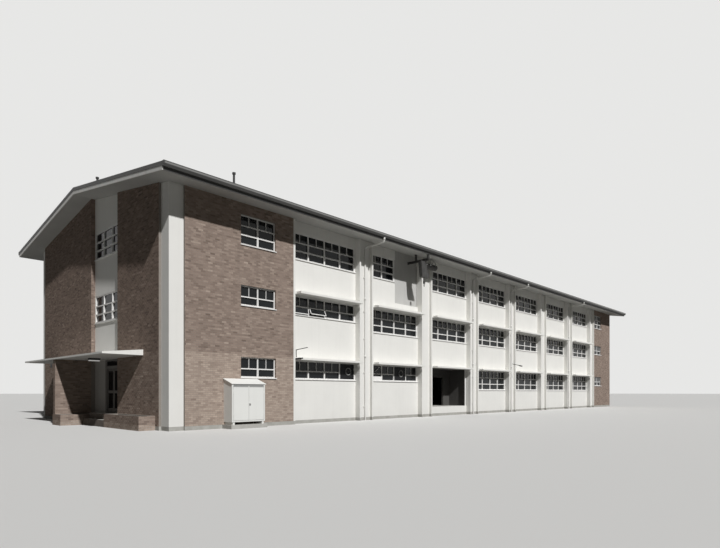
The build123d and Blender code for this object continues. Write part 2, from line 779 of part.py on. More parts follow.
def entrance_side_panel():
    """Painted panel beside the entrance doors."""
    start = DOOR_CENTRE + LEAF_WIDTH + ENTRANCE_POST
    return on("near", start, STRIP_END, STRIP_SET_BACK, BRICK_THICKNESS, BASE, CANOPY_UNDERSIDE)


def entrance_frame():
    """Door frame with a fanlight over the pair of doors."""
    start, end = STRIP_START, DOOR_CENTRE + LEAF_WIDTH + ENTRANCE_POST
    frame = on("near", start, end, STRIP_SET_BACK, BRICK_THICKNESS, BASE, CANOPY_UNDERSIDE)
    a0, a1 = DOOR_CENTRE - LEAF_WIDTH, DOOR_CENTRE + LEAF_WIDTH
    cut = (STRIP_SET_BACK, BRICK_THICKNESS)
    frame -= on("near", a0, a1, *cut, GROUND_FLOOR, LEAF_TOP + DOOR_GAP)
    return frame - on("near", a0, a1, *cut, FANLIGHT_FOOT, FANLIGHT_TOP)


def fanlight_glass():
    a0, a1 = DOOR_CENTRE - LEAF_WIDTH, DOOR_CENTRE + LEAF_WIDTH
    middle = (STRIP_SET_BACK + BRICK_THICKNESS) / 2
    sheet = (middle, middle + GLASS_THICKNESS)
    return on("near", a0, a1, *sheet, FANLIGHT_FOOT, FANLIGHT_TOP)


def hinge_pair(x, y, z_low, z_high, reach):
    """Two knuckles and plates on one door edge; reach is the plate's way along Y."""
    pieces = []
    for z in (z_low, z_high):
        foot = Pos(x, y, z)
        pieces.append(foot * Cylinder(HINGE_RADIUS, HINGE_LENGTH))
        plate = Box(HINGE_PLATE, abs(reach), HINGE_LENGTH)
        pieces.append(Pos(x - HINGE_RADIUS - HINGE_CLEARANCE + HINGE_PLATE / 2,
                          y + reach / 2, z) * plate)
    return pieces


def door_levels():
    """Bottom and top of the lower and the upper pane of a door leaf."""
    foot = GROUND_FLOOR + DOOR_GAP
    middle = foot + LEAF_MIDDLE
    lower = (foot + LEAF_KICK_RAIL, middle - LEAF_MIDDLE_RAIL / 2)
    upper = (middle + LEAF_MIDDLE_RAIL / 2, LEAF_TOP - LEAF_RAIL)
    return lower, upper


def leaf_span(hand):
    """Edges of one leaf along Y; hand is -1 for the right leaf, 1 for the left."""
    inner = DOOR_CENTRE + hand * DOOR_GAP / 2
    outer = DOOR_CENTRE + hand * (LEAF_WIDTH - DOOR_GAP)
    return min(inner, outer), max(inner, outer)


def door_leaf(hand):
    """Glazed entrance door leaf with two panes, flush with the inner wall face."""
    y0, y1 = leaf_span(hand)
    x1 = BRICK_THICKNESS
    x0 = x1 - LEAF_THICKNESS
    leaf = block(x0, x1, y0, y1, GROUND_FLOOR + DOOR_GAP, LEAF_TOP)
    for low, high in door_levels():
        leaf -= block(x0, x1, y0 + LEAF_STILE, y1 - LEAF_STILE, low, high)
    pin_x = x1 + HINGE_RADIUS + HINGE_CLEARANCE
    pin_y = DOOR_CENTRE + hand * (LEAF_WIDTH - DOOR_GAP / 2)
    low = GROUND_FLOOR + DOOR_GAP + HINGE_FROM_EDGE
    high = LEAF_TOP - HINGE_FROM_EDGE
    hinges = hinge_pair(pin_x, pin_y, low, high, -hand * HINGE_PLATE_WIDTH)
    for piece in hinges:
        leaf += piece
    return leaf


def door_glass(hand):
    y0, y1 = leaf_span(hand)
    middle = BRICK_THICKNESS - LEAF_THICKNESS / 2
    return [
        block(middle - GLASS_THICKNESS / 2, middle + GLASS_THICKNESS / 2,
              y0 + LEAF_STILE, y1 - LEAF_STILE, low, high)
        for low, high in door_levels()
    ]


def porch_lining():
    """Side walls and ceiling of the recessed doorway."""
    start, end = bay_span(DOORWAY_BAY)
    back = PANEL_SET_BACK + PORCH_DEPTH
    high = FIRST_FLOOR - SLAB_THICKNESS
    lining = block(start - PORCH_WALL, end + PORCH_WALL, PANEL_BACK, back, GROUND_FLOOR, high)
    return lining - block(start, end, PANEL_BACK, back, GROUND_FLOOR, GROUND_HEAD)


def porch_back_wall():
    """Back wall of the porch with its doorway."""
    start, end = bay_span(DOORWAY_BAY)
    front = PANEL_SET_BACK + PORCH_DEPTH
    back = front + PORCH_WALL
    high = FIRST_FLOOR - SLAB_THICKNESS
    wall = block(start - PORCH_WALL, end + PORCH_WALL, front, back, GROUND_FLOOR, high)
    door = start + PORCH_DOOR_START
    head = GROUND_FLOOR + PORCH_DOOR_HEIGHT
    return wall - block(door, door + PORCH_DOOR_WIDTH, front, back, GROUND_FLOOR, head)


def cabinet_body():
    """Sheet metal cabinet, open at the front and under the lid, on two rails."""
    x0, x1 = CABINET_START, CABINET_START + CABINET_WIDTH
    side_view = [
        (-CABINET_DEPTH, CABINET_FOOT),
        (-CABINET_DEPTH, CABINET_FRONT_TOP),
        (0, CABINET_BACK_TOP),
        (0, CABINET_FOOT),
    ]
    sheet = CABINET_SHEET
    body = prism(side_view, x0, x1)
    inside = [
        (sheet - CABINET_DEPTH, CABINET_FOOT + sheet),
        (sheet - CABINET_DEPTH, CABINET_BACK_TOP),
        (-sheet, CABINET_BACK_TOP),
        (-sheet, CABINET_FOOT + sheet),
    ]
    body -= prism(inside, x0 + sheet, x1 - sheet)
    a0, a1, low, high = cabinet_opening()
    body -= block(a0, a1, -CABINET_DEPTH, sheet - CABINET_DEPTH, low, high)
    for start in (x0 + CABINET_BORDER, x1 - CABINET_BORDER - CABINET_LEG):
        body += block(start, start + CABINET_LEG, -CABINET_DEPTH + sheet, 0, 0, CABINET_FOOT)
    return body


def cabinet_pad():
    """Concrete pad that lifts the cabinet to the level of the path."""
    x0, x1 = CABINET_START - CABINET_PAD_EDGE, CABINET_START + CABINET_WIDTH + CABINET_PAD_EDGE
    return block(x0, x1, -CABINET_DEPTH - CABINET_PAD_EDGE, 0, BASE, 0)


def cabinet_opening():
    """Start, end, foot and head of the cabinet's front opening."""
    start = CABINET_START + CABINET_BORDER
    end = CABINET_START + CABINET_WIDTH - CABINET_BORDER
    foot = CABINET_FOOT + CABINET_BORDER
    return start, end, foot, CABINET_FRONT_TOP - CABINET_HEADER


def cabinet_lid():
    """Sloping lid that overhangs the front and both sides."""
    rise = (CABINET_BACK_TOP - CABINET_FRONT_TOP) / CABINET_DEPTH
    front = -CABINET_DEPTH - LID_PROUD
    low = CABINET_FRONT_TOP - rise * LID_PROUD
    section = [
        (front, low),
        (0, CABINET_BACK_TOP),
        (0, CABINET_BACK_TOP + LID_THICKNESS),
        (front, low + LID_THICKNESS),
    ]
    return prism(section, CABINET_START - LID_PROUD, CABINET_START + CABINET_WIDTH + LID_PROUD)


def cabinet_door(hand):
    """Flush cabinet door; hand is -1 for the left leaf, 1 for the right."""
    start, end, foot, head = cabinet_opening()
    centre = (start + end) / 2
    half = (end - start) / 2
    inner = centre + hand * DOOR_GAP / 2
    outer = centre + hand * (half - DOOR_GAP)
    y0 = -CABINET_DEPTH
    y1 = y0 + CABINET_SHEET
    x0, x1 = min(inner, outer), max(inner, outer)
    leaf = block(x0, x1, y0, y1, foot + DOOR_GAP, head - DOOR_GAP)
    pin_x = centre + hand * (half - DOOR_GAP / 2)
    pin_y = y0 - HINGE_RADIUS - HINGE_CLEARANCE
    for z in (foot + HINGE_FROM_EDGE, head - HINGE_FROM_EDGE):
        leaf += Pos(pin_x, pin_y, z) * Cylinder(HINGE_RADIUS, HINGE_LENGTH)
        plate = Box(HINGE_PLATE_WIDTH, HINGE_PLATE, HINGE_LENGTH)
        leaf += Pos(pin_x - hand * HINGE_PLATE_WIDTH / 2, y0 - HINGE_PLATE / 2, z) * plate
    if hand > 0:
        grip = Pos(inner + 2 * KNOB_RADIUS, y0, (foot + head) / 2) * Rot(90, 0, 0)
        leaf += grip * Cylinder(KNOB_RADIUS, KNOB_LENGTH, align=(Align.CENTER, Align.CENTER, Align.MIN))
    return leaf


def save_structure():
    save("ground_floor_slab", floor_slab(GROUND_FLOOR))
    save("first_floor_slab", floor_slab(FIRST_FLOOR))
    save("second_floor_slab", floor_slab(SECOND_FLOOR))
    save("near_front_brick_wall", brick_wall("front", True))
    save("far_front_brick_wall", brick_wall("front", False))
    save("back_brick_walls", brick_wall("back", True), brick_wall("back", False))
    save("near_end_right_brick_wall", end_wall("near", CORNER_PIER, STRIP_START))
    save("near_end_left_brick_wall", end_wall("near", STRIP_END, DEPTH - CORNER_PIER))
    save(
        "far_end_brick_walls",
        end_wall("far", BRICK_THICKNESS, STRIP_START),
        end_wall("far", STRIP_END, DEPTH - BRICK_THICKNESS),
    )
    save("corner_piers", *[corner_pier(side) for side in SIDES])
    save("stair_strip_wall", strip_wall("near", CANOPY_UNDERSIDE + CANOPY_ROOT))
    save("far_strip_wall", strip_wall("far", BASE))
    for side in SIDES:
        numbers = range(1, PILASTER_COUNT + 1)
        save(f"{side}_pilasters", *[pilaster(side, number) for number in numbers])
    save("hoods", *hoods("front"), *hoods("back"))
    save("edge_fins", *[edge_fin(side) for side in SIDES])


def save_panels():
    save("front_ground_panels", *ground_panels("front"))
    save("front_first_panels", *first_panels("front"))
    save("front_second_panels", *second_panels("front"))
    save("front_eaves_panels", *eaves_panels("front"))
    save("loading_panel", loading_panel())
    upper = [*second_panels("back"), *eaves_panels("back")]
    save("back_panels", *ground_panels("back"), *first_panels("back"), *upper)


def save_windows():
    storeys = ("ground", "first", "second")
    for storey in storeys:
        save(f"front_{storey}_windows", *bay_frames("front", storey))
    save("back_windows", *[frame for storey in storeys for frame in bay_frames("back", storey)])
    save("bay_glass", *bay_glass("front"), *bay_glass("back"))
    brick = [(side, outline) for side in SIDES for outline in brick_windows(side)]
    strip = [(face, outline) for face in ("near", "far") for outline in strip_windows(face)]
    depth = STRIP_SET_BACK + STRIP_REVEAL
    save("brick_windows", *[window_frame(*place, BRICK_WINDOW_REVEAL) for place in brick])
    save("strip_windows", *[window_frame(*place, depth) for place in strip])
    panes = [window_glass(*place, BRICK_WINDOW_REVEAL) for place in brick]
    panes += [window_glass(*place, depth) for place in strip]
    save("brick_and_strip_glass", *panes, fanlight_glass())


def save_roof():
    for side in SIDES:
        save(f"{side}_roof_sheet", roof_sheet(side))
        save(f"{side}_roof_lining", roof_lining(side))
    pipes = [downpipe(side, number) for side in SIDES for number in PIPED_PILASTERS]
    save("downpipes", *pipes)
    save("fascias", *[fascia(side) for side in SIDES])
    save("gutters", *[gutter(side) for side in SIDES])
    save("barge_boards", barge(True), barge(False))
    save("barge_cappings", barge_capping(True), barge_capping(False))
    save("ridge_cap", ridge_cap())
    front_vent = roof_vent(FRONT_VENT_X, FRONT_VENT_DEPTH, FRONT_VENT_HEIGHT)
    ridge_vent = roof_vent(RIDGE_VENT_X, RIDGE - RIDGE_VENT_FROM_RIDGE, RIDGE_VENT_HEIGHT)
    save("roof_vents", front_vent, ridge_vent)
    save("hoist_beam", hoist_beam())
    save("hoist_block", hoist_block(), winch())


def save_entrance():
    save("entrance_canopy", canopy())
    save("wing_wall", wing_wall())
    right = planter(-RIGHT_PLANTER_REACH, RIGHT_PLANTER_START, RIGHT_PLANTER_END, RIGHT_PLANTER_TOP)
    save("planter_walls", right, left_planter())
    save("entrance_landing", landing())
    save("entrance_side_panel", entrance_side_panel())
    save("entrance_frame", entrance_frame())
    for name, hand in (("right", -1), ("left", 1)):
        save(f"entrance_door_{name}", door_leaf(hand))
        save(f"door_glass_{name}", *door_glass(hand))
    save("porch_lining", porch_lining())
    save("porch_back_wall", porch_back_wall())


def save_cabinet():
    save("meter_cabinet", cabinet_body())
    save("cabinet_pad", cabinet_pad())
    save("meter_cabinet_lid", cabinet_lid())
    save("cabinet_door_left", cabinet_door(-1))
    save("cabinet_door_right", cabinet_door(1))


def main():
    os.makedirs("parts", exist_ok=True)
    save_structure()
    save_panels()
    save_windows()
    save_roof()
    save_entrance()
    save_cabinet()


main()
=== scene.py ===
"""Looks of the three-storey school building, a 1:2 model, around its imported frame."""
import math

import bpy
import numpy as np
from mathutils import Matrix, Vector


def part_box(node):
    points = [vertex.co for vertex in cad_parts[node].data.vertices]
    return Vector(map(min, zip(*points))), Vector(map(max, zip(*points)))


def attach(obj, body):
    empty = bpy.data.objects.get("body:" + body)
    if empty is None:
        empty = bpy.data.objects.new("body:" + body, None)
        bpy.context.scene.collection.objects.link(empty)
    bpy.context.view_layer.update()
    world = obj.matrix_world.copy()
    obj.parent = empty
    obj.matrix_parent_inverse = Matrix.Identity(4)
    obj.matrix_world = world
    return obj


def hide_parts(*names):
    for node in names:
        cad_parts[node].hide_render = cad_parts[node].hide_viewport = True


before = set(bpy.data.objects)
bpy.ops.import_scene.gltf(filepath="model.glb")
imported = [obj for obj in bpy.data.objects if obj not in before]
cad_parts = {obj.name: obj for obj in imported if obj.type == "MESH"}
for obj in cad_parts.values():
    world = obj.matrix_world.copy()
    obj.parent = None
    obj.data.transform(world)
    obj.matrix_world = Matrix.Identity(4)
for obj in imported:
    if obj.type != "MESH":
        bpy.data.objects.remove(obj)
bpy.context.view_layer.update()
BODY = "building"

# Sizes of the building in model metres, as in the solids
DEPTH = 8.374
BAY = 3.048
PILASTER_WIDTH = 0.596
FIN_WIDTH = 0.064
NEAR_BRICK_END = 3.450
PILASTER_COUNT = 7
PANEL_SET_BACK = 0.176
WEB_SET_BACK = 0.085
CORNER_PIER = 0.394
STRIP_SET_BACK = 0.100
STRIP_START = 2.524
STRIP_END = 4.187
GROUND_FLOOR = 0.232
FRAME_REVEAL = 0.026
FRAME_DEPTH = 0.030
FRAME_BORDER = 0.025
MULLION = 0.030
TRANSOM = 0.022
BAY_JAMB = 0.045
BAY_UNITS = 4
BRICK_UNITS = 2
STRIP_UNITS = 3
DOORWAY_BAY = 3
LOADING_BAY = 2
EAVE_OVERHANG = 0.650
RAKE_OVERHANG = 0.450
FASCIA_FOOT = 5.096
FASCIA_THICKNESS = 0.020
ROOF_SLOPE = 0.1595
ROOF_BUILD_UP = 0.172
SHEET_THICKNESS = 0.016
GUTTER_WIDTH = 0.075
GUTTER_FOOT_WIDTH = 0.052
GUTTER_HEIGHT = 0.110
PIPED_PILASTERS = (1, 3, 4, 6)
PIPE_RADIUS = 0.025
PIPE_GAP = 0.001
CANOPY_UNDERSIDE = 1.572

# Heads, transoms and sills of the window rows, from the top down
ROWS = {
    "second": (4.937, 4.686, 4.466, 4.240),
    "first": (3.270, 3.006, 2.781, 2.563),
    "ground": (1.571, 1.299, 1.055, 0.827),
}
BRICK_ROWS = {
    "second": (4.937, 4.686, 4.466, 4.232),
    "first": (3.270, 3.006, 2.797),
    "ground": (1.571, 1.299, 1.090),
}
SHORT_ROWS = {
    "first": (3.270, 3.006, 2.781),
    "ground": (1.571, 1.299, 1.087),
}
BRICK_WINDOW_WIDTH = 1.040
BRICK_WINDOW_FROM_END = 0.572
BRICK_WINDOW_REVEAL = 0.045
FAR_WINDOW_FROM_BAYS = 0.040
STRIP_WINDOW_GAP = 0.029
STRIP_WINDOW_REVEAL = 0.005

# Height of the bare foot of the walls, up to the building's own zero
BASE_TOP = 0.090

# Where the building's own zero lies in the frame
ZERO = Vector((
    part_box("near_end_right_brick_wall")[0].x,
    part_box("near_front_brick_wall")[0].y,
    BASE_TOP,
))
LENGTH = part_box("far_front_brick_wall")[1].x - ZERO.x
FIRST_PILASTER = NEAR_BRICK_END + FIN_WIDTH + BAY - PILASTER_WIDTH
FAR_BRICK = FIRST_PILASTER + (PILASTER_COUNT - 1) * BAY + PILASTER_WIDTH
RIDGE = DEPTH / 2
SIDES = ("front", "back")

# Camera, from the lines of the building in the photograph
CAMERA_PLACE = (-5.393, -10.434, 0.746)
CAMERA_HEADING = 0.798
FOCAL_PIXELS = 530.44
PRINCIPAL_POINT = (344.0, 391.9)
IMAGE_SIZE = (720, 548)
SENSOR = 36.0
CLIP_END = 1000.0

# Sun from the cast shadows; floor and backdrop look paler than the light they give
SUN_TRAVEL = (0.255, 1.0, -0.875)
SUN_STRENGTH = 3.6
SUN_SPREAD = 1.6
FILL_COLOUR = (0.97, 0.985, 1.0, 1.0)
FILL_STRENGTH = 0.032
BACKDROP_COLOUR = (0.80, 0.80, 0.79, 1.0)
FLOOR_BOUNCE = (0.18, 0.18, 0.172)
FLOOR_SEEN = (0.72, 0.715, 0.70)
FLOOR_REACH = 260.0


def at(x, y, z):
    """Point of the building in the frame."""
    return Vector((x, y, z)) + ZERO


def soffit(y):
    """Height of the roof lining at a place across the building."""
    return FASCIA_FOOT + ROOF_SLOPE * (EAVE_OVERHANG + min(y, DEPTH - y))


# Materials

CONCRETE_PALE = (0.52, 0.51, 0.48)
CONCRETE_DARK = (0.38, 0.37, 0.34)
BASE_PALE = (0.46, 0.45, 0.42)
BASE_DARK = (0.34, 0.33, 0.30)
BASE_EDGE = 0.002
FOOT_DIRT = (0.20, 0.17, 0.13)
FOOT_HEIGHT = 0.42
WHITE = (0.79, 0.78, 0.745)
LAMP_WHITE = (0.84, 0.84, 0.80)


class Shader:
    """Principled material with short calls for its nodes."""

    def __init__(self, name, roughness=0.6, metallic=0.0, specular=0.12):
        self.material = bpy.data.materials.new(name)
        self.material.use_nodes = True
        self.tree = self.material.node_tree
        self.tree.nodes.clear()
        output = self.node("ShaderNodeOutputMaterial")
        self.surface = self.node("ShaderNodeBsdfPrincipled")
        self.link(self.surface.outputs[0], output.inputs[0])
        self.surface.inputs["Roughness"].default_value = roughness
        self.surface.inputs["Metallic"].default_value = metallic
        self.surface.inputs["Specular IOR Level"].default_value = specular
        self.place = self.node("ShaderNodeTexCoord").outputs["Object"]

    def node(self, kind, **settings):
        made = self.tree.nodes.new(kind)
        for key, value in settings.items():
            setattr(made, key, value)
        return made

    def link(self, source, target):
        self.tree.links.new(source, target)

    def scaled(self, scale):
        """Object coordinates stretched by a factor on each axis."""
        mapping = self.node("ShaderNodeMapping")
        mapping.inputs["Scale"].default_value = scale
        self.link(self.place, mapping.inputs["Vector"])
        return mapping.outputs[0]

    def noise(self, scale, detail=3.0, stretch=(1, 1, 1), roughness=0.55):
        made = self.node("ShaderNodeTexNoise")
        made.inputs["Scale"].default_value = scale
        made.inputs["Detail"].default_value = detail
        made.inputs["Roughness"].default_value = roughness
        self.link(self.scaled(stretch), made.inputs["Vector"])
        return made.outputs["Fac"]

    def span(self, value, low, high, bottom=0.0, top=1.0):
        """Value mapped from low..high to bottom..top, clamped."""
        made = self.node("ShaderNodeMapRange")
        self.link(value, made.inputs["Value"])
        limits = {"From Min": low, "From Max": high, "To Min": bottom, "To Max": top}
        for key, number in limits.items():
            made.inputs[key].default_value = number
        return made.outputs[0]

    def maths(self, operation, first, second=0.0):
        made = self.node("ShaderNodeMath", operation=operation)
        for socket, value in zip(made.inputs, (first, second)):
            if isinstance(value, (int, float)):
                socket.default_value = value
            else:
                self.link(value, socket)
        return made.outputs[0]

    def mix(self, factor, first, second):
        """Blend of two colours; each is a colour or another node's output."""
        made = self.node("ShaderNodeMix", data_type="RGBA")
        sockets = made.inputs[0], made.inputs[6], made.inputs[7]
        for socket, value in zip(sockets, (factor, first, second)):
            if isinstance(value, (int, float)):
                socket.default_value = value
            elif isinstance(value, tuple):
                socket.default_value = (*value, 1.0)
            else:
                self.link(value, socket)
        return made.outputs[2]

    def height(self):
        split = self.node("ShaderNodeSeparateXYZ")
        self.link(self.place, split.inputs[0])
        return split.outputs["Z"]

    def above_base(self, tone):
        """Tone of a wall over its bare concrete foot."""
        patches = self.span(self.noise(5.0, 5.0), 0.3, 0.7)
        bare = self.mix(patches, BASE_PALE, BASE_DARK)
        over = self.span(self.height(), BASE_TOP - BASE_EDGE, BASE_TOP + BASE_EDGE)
        return self.mix(over, bare, tone)

    def facing_up(self):
        """One on level faces, nothing on upright ones."""
        split = self.node("ShaderNodeSeparateXYZ")
        self.link(self.node("ShaderNodeNewGeometry").outputs["Normal"], split.inputs[0])
        return self.span(split.outputs["Z"], 0.45, 0.55)

    def colour(self, value):
        if isinstance(value, tuple):
            self.surface.inputs["Base Color"].default_value = (*value, 1.0)
        else:
            self.link(value, self.surface.inputs["Base Color"])

    def bump(self, value, distance, strength=1.0):
        made = self.node("ShaderNodeBump")
        made.inputs["Distance"].default_value = distance
        made.inputs["Strength"].default_value = strength
        self.link(value, made.inputs["Height"])
        self.link(made.outputs[0], self.surface.inputs["Normal"])


def seen_rays(tree):
    """One for rays that show the backdrop: from the camera, mirrored or through glass."""
    path = tree.nodes.new("ShaderNodeLightPath")
    shown = path.outputs["Is Camera Ray"]
    for kind in ("Is Glossy Ray", "Is Transmission Ray"):
        either = tree.nodes.new("ShaderNodeMath")
        either.operation = "MAXIMUM"
        tree.links.new(shown, either.inputs[0])
        tree.links.new(path.outputs[kind], either.inputs[1])
        shown = either.outputs[0]
    return shown


def shade(colour, factor):
    """Darker tone of a colour."""
    return tuple(channel * factor for channel in colour)


def paint(name, colour, roughness, mottle, streak, grain, foot=0.0, metallic=0.0, base=False):
    """Painted surface with soft patches, rain streaks, fine grain and a dirty foot."""
    made = Shader(name, roughness, metallic)
    patches = made.span(made.noise(1.6, 5.0), 0.35, 0.70, 0.0, mottle)
    rain = made.span(made.noise(1.0, 4.0, (9.0, 9.0, 0.5)), 0.48, 0.72, 0.0, streak)
    tone = made.mix(patches, colour, shade(colour, 0.55))
    tone = made.mix(rain, tone, shade(colour, 0.45))
    if foot:
        dirt = made.span(made.height(), 0.0, FOOT_HEIGHT, foot, 0.0)
        patchy = made.maths("MULTIPLY", dirt, made.span(made.noise(4.0, 4.0), 0.3, 0.7, 0.4, 1.0))
        tone = made.mix(patchy, tone, FOOT_DIRT)
    made.colour(made.above_base(tone) if base else tone)
    made.bump(made.noise(420.0, 2.0), grain)
    return made.material


def mortar_material():
    made = Shader("mortar", 0.9, specular=0.05)
    tone = made.mix(made.noise(14.0, 4.0), (0.31, 0.28, 0.25), (0.21, 0.19, 0.17))
    made.colour(made.above_base(tone))
    made.bump(made.noise(300.0, 2.0), 0.001)
    return made.material


def brick_material():
    """Face brick; each brick's own tone comes from its mesh."""
    made = Shader("face_brick", 0.85, specular=0.06)
    tone = made.node("ShaderNodeAttribute", attribute_name="tone").outputs["Fac"]
    ramp = made.node("ShaderNodeValToRGB")
    stops = (
        (0.0, (0.110, 0.082, 0.070)),
        (0.30, (0.200, 0.150, 0.122)),
        (0.55, (0.285, 0.218, 0.180)),
        (1.0, (0.475, 0.385, 0.320)),
    )
    while len(ramp.color_ramp.elements) < len(stops):
        ramp.color_ramp.elements.new(0.5)
    for element, (position, colour) in zip(ramp.color_ramp.elements, stops):
        element.position = position
        element.color = (*colour, 1.0)
    made.link(tone, ramp.inputs["Fac"])
    speckle = made.span(made.noise(60.0, 3.0), 0.40, 0.75, 0.0, 0.30)
    colour = made.mix(speckle, ramp.outputs["Color"], (0.16, 0.125, 0.105))
    rain = made.span(made.noise(0.9, 4.0, (6.0, 6.0, 0.5)), 0.50, 0.75, 0.0, 0.15)
    made.colour(made.mix(rain, colour, (0.12, 0.10, 0.085)))
    made.bump(made.noise(160.0, 3.0), 0.0012)
    return made.material


def glass_material():
    made = Shader("window_glass", 0.06, specular=0.18)
    dust = made.span(made.noise(2.2, 4.0), 0.35, 0.75, 0.0, 0.35)
    made.colour(made.mix(dust, (0.010, 0.012, 0.014), (0.034, 0.037, 0.039)))
    made.surface.inputs["Transmission Weight"].default_value = 0.25
    made.surface.inputs["IOR"].default_value = 1.45
    return made.material


def sheet_material():
    """Weathered zinc sheeting with duller patches and rust at the fixing rows."""
    made = Shader("roof_sheeting", 0.42, 0.55, 0.5)
    patches = made.span(made.noise(1.2, 6.0), 0.35, 0.70)
    tone = made.mix(patches, (0.50, 0.50, 0.49), (0.36, 0.36, 0.35))
    rust = made.span(made.noise(5.0, 5.0, (1.0, 0.25, 1.0)), 0.60, 0.78, 0.0, 0.55)
    made.colour(made.mix(rust, tone, (0.24, 0.14, 0.09)))
    made.bump(made.noise(30.0, 3.0), 0.002)
    return made.material


def concrete_material():
    made = Shader("concrete", 0.85, specular=0.08)
    patches = made.span(made.noise(3.0, 6.0), 0.3, 0.7)
    tone = made.mix(patches, CONCRETE_PALE, CONCRETE_DARK)
    pits = made.span(made.noise(70.0, 3.0), 0.55, 0.75, 0.0, 0.35)
    made.colour(made.mix(pits, tone, (0.20, 0.19, 0.17)))
    made.bump(made.noise(90.0, 4.0), 0.0015)
    return made.material


def step_material():
    """Concrete treads over darker risers: level faces get the concrete, upright faces the darker tone.
    """
    made = Shader("entrance_steps", 0.85, specular=0.08)
    patches = made.span(made.noise(6.0, 6.0), 0.3, 0.7)
    risers = made.mix(patches, (0.21, 0.18, 0.155), (0.13, 0.115, 0.10))
    treads = made.mix(patches, CONCRETE_PALE, CONCRETE_DARK)
    made.colour(made.mix(made.facing_up(), risers, treads))
    made.bump(made.noise(90.0, 4.0), 0.0015)
    return made.material


def hoist_material():
    """Dark worn steel paint."""
    made = Shader("hoist_paint", 0.55, 0.2)
    patches = made.span(made.noise(9.0, 4.0), 0.35, 0.70)
    made.colour(made.mix(patches, (0.085, 0.083, 0.080), (0.055, 0.054, 0.052)))
    made.bump(made.noise(120.0, 3.0), 0.0008)
    return made.material


def lamp_material():
    """White cover of a light fitting that is lit."""
    made = Shader("lamp_cover", 0.3)
    made.colour(LAMP_WHITE)
    made.surface.inputs["Emission Color"].default_value = (1.0, 0.99, 0.96, 1.0)
    made.surface.inputs["Emission Strength"].default_value = 0.30
    return made.material


def gutter_material():
    """Dark paint with paler weathered patches."""
    made = Shader("gutter_paint", 0.45)
    patches = made.span(made.noise(2.5, 5.0), 0.35, 0.70, 0.0, 0.35)
    made.colour(made.mix(patches, (0.075, 0.075, 0.073), (0.13, 0.125, 0.12)))
    made.bump(made.noise(60.0, 2.0), 0.0008)
    return made.material


MATERIALS = {
    "mortar": mortar_material(),
    "brick": brick_material(),
    "glass": glass_material(),
    "sheet": sheet_material(),
    "concrete": concrete_material(),
    "step": step_material(),
    "gutter": gutter_material(),
    "hoist": hoist_material(),
    "lamp": lamp_material(),
}
# Painted surfaces: name, colour, roughness, mottle, streak, grain, and what else differs
PAINTS = {
    "white": ("panel_paint", WHITE, 0.62, 0.08, 0.05, 0.0006, {"foot": 0.08, "base": True}),
    "frame": ("window_paint", (0.80, 0.79, 0.77), 0.42, 0.06, 0.04, 0.0002, {}),
    # Soffit lining: a grey darker than the white paint, as painted shade under the eaves
    "lining": ("soffit_paint", (0.50, 0.495, 0.475), 0.75, 0.14, 0.0, 0.0006, {}),
    "capping": ("capping_paint", (0.13, 0.128, 0.125), 0.5, 0.3, 0.2, 0.0005, {}),
    "barge": ("barge_paint", (0.74, 0.73, 0.70), 0.5, 0.12, 0.15, 0.0004, {}),
    "pipe": ("pipe_paint", (0.76, 0.75, 0.72), 0.45, 0.10, 0.15, 0.0003, {"foot": 0.2}),
    "side_panel": ("side_panel_paint", (0.50, 0.49, 0.47), 0.5, 0.15, 0.08, 0.0004, {"foot": 0.1}),
    "door": ("door_paint", (0.17, 0.16, 0.15), 0.45, 0.2, 0.1, 0.0004, {"foot": 0.2}),
    "door_frame": ("door_frame_paint", (0.20, 0.19, 0.18), 0.45, 0.12, 0.08, 0.0004, {"foot": 0.2}),
    "cabinet": ("cabinet_paint", (0.77, 0.77, 0.74), 0.48, 0.06, 0.06, 0.0003, {"foot": 0.06}),
    "lid": ("lid_paint", (0.84, 0.84, 0.81), 0.5, 0.05, 0.04, 0.0003, {}),
    "louvre": ("louvre_paint", (0.39, 0.39, 0.38), 0.5, 0.12, 0.0, 0.0003, {}),
    "loading": ("loading_paint", (0.52, 0.515, 0.495), 0.8, 0.16, 0.10, 0.002, {}),
    # Paler band on the gutters' faces: a painted highlight of the sun on the curved face
    "gutter_band": ("gutter_band_paint", (0.23, 0.228, 0.22), 0.5, 0.25, 0.0, 0.0003, {}),
    "steel": ("bare_steel", (0.62, 0.62, 0.61), 0.35, 0.15, 0.0, 0.0002, {"metallic": 0.9}),
    "dark": ("dark_metal", (0.06, 0.06, 0.06), 0.5, 0.2, 0.0, 0.0004, {}),
    "black": ("blank_plate", (0.016, 0.016, 0.017), 0.6, 0.2, 0.0, 0.0003, {}),
    "porch": ("porch_paint", (0.085, 0.082, 0.078), 0.7, 0.2, 0.1, 0.0005, {}),
    "fan": ("fan_cover", (0.24, 0.24, 0.235), 0.5, 0.15, 0.0, 0.0003, {}),
}
for key, (*fixed, others) in PAINTS.items():
    MATERIALS[key] = paint(*fixed, **others)
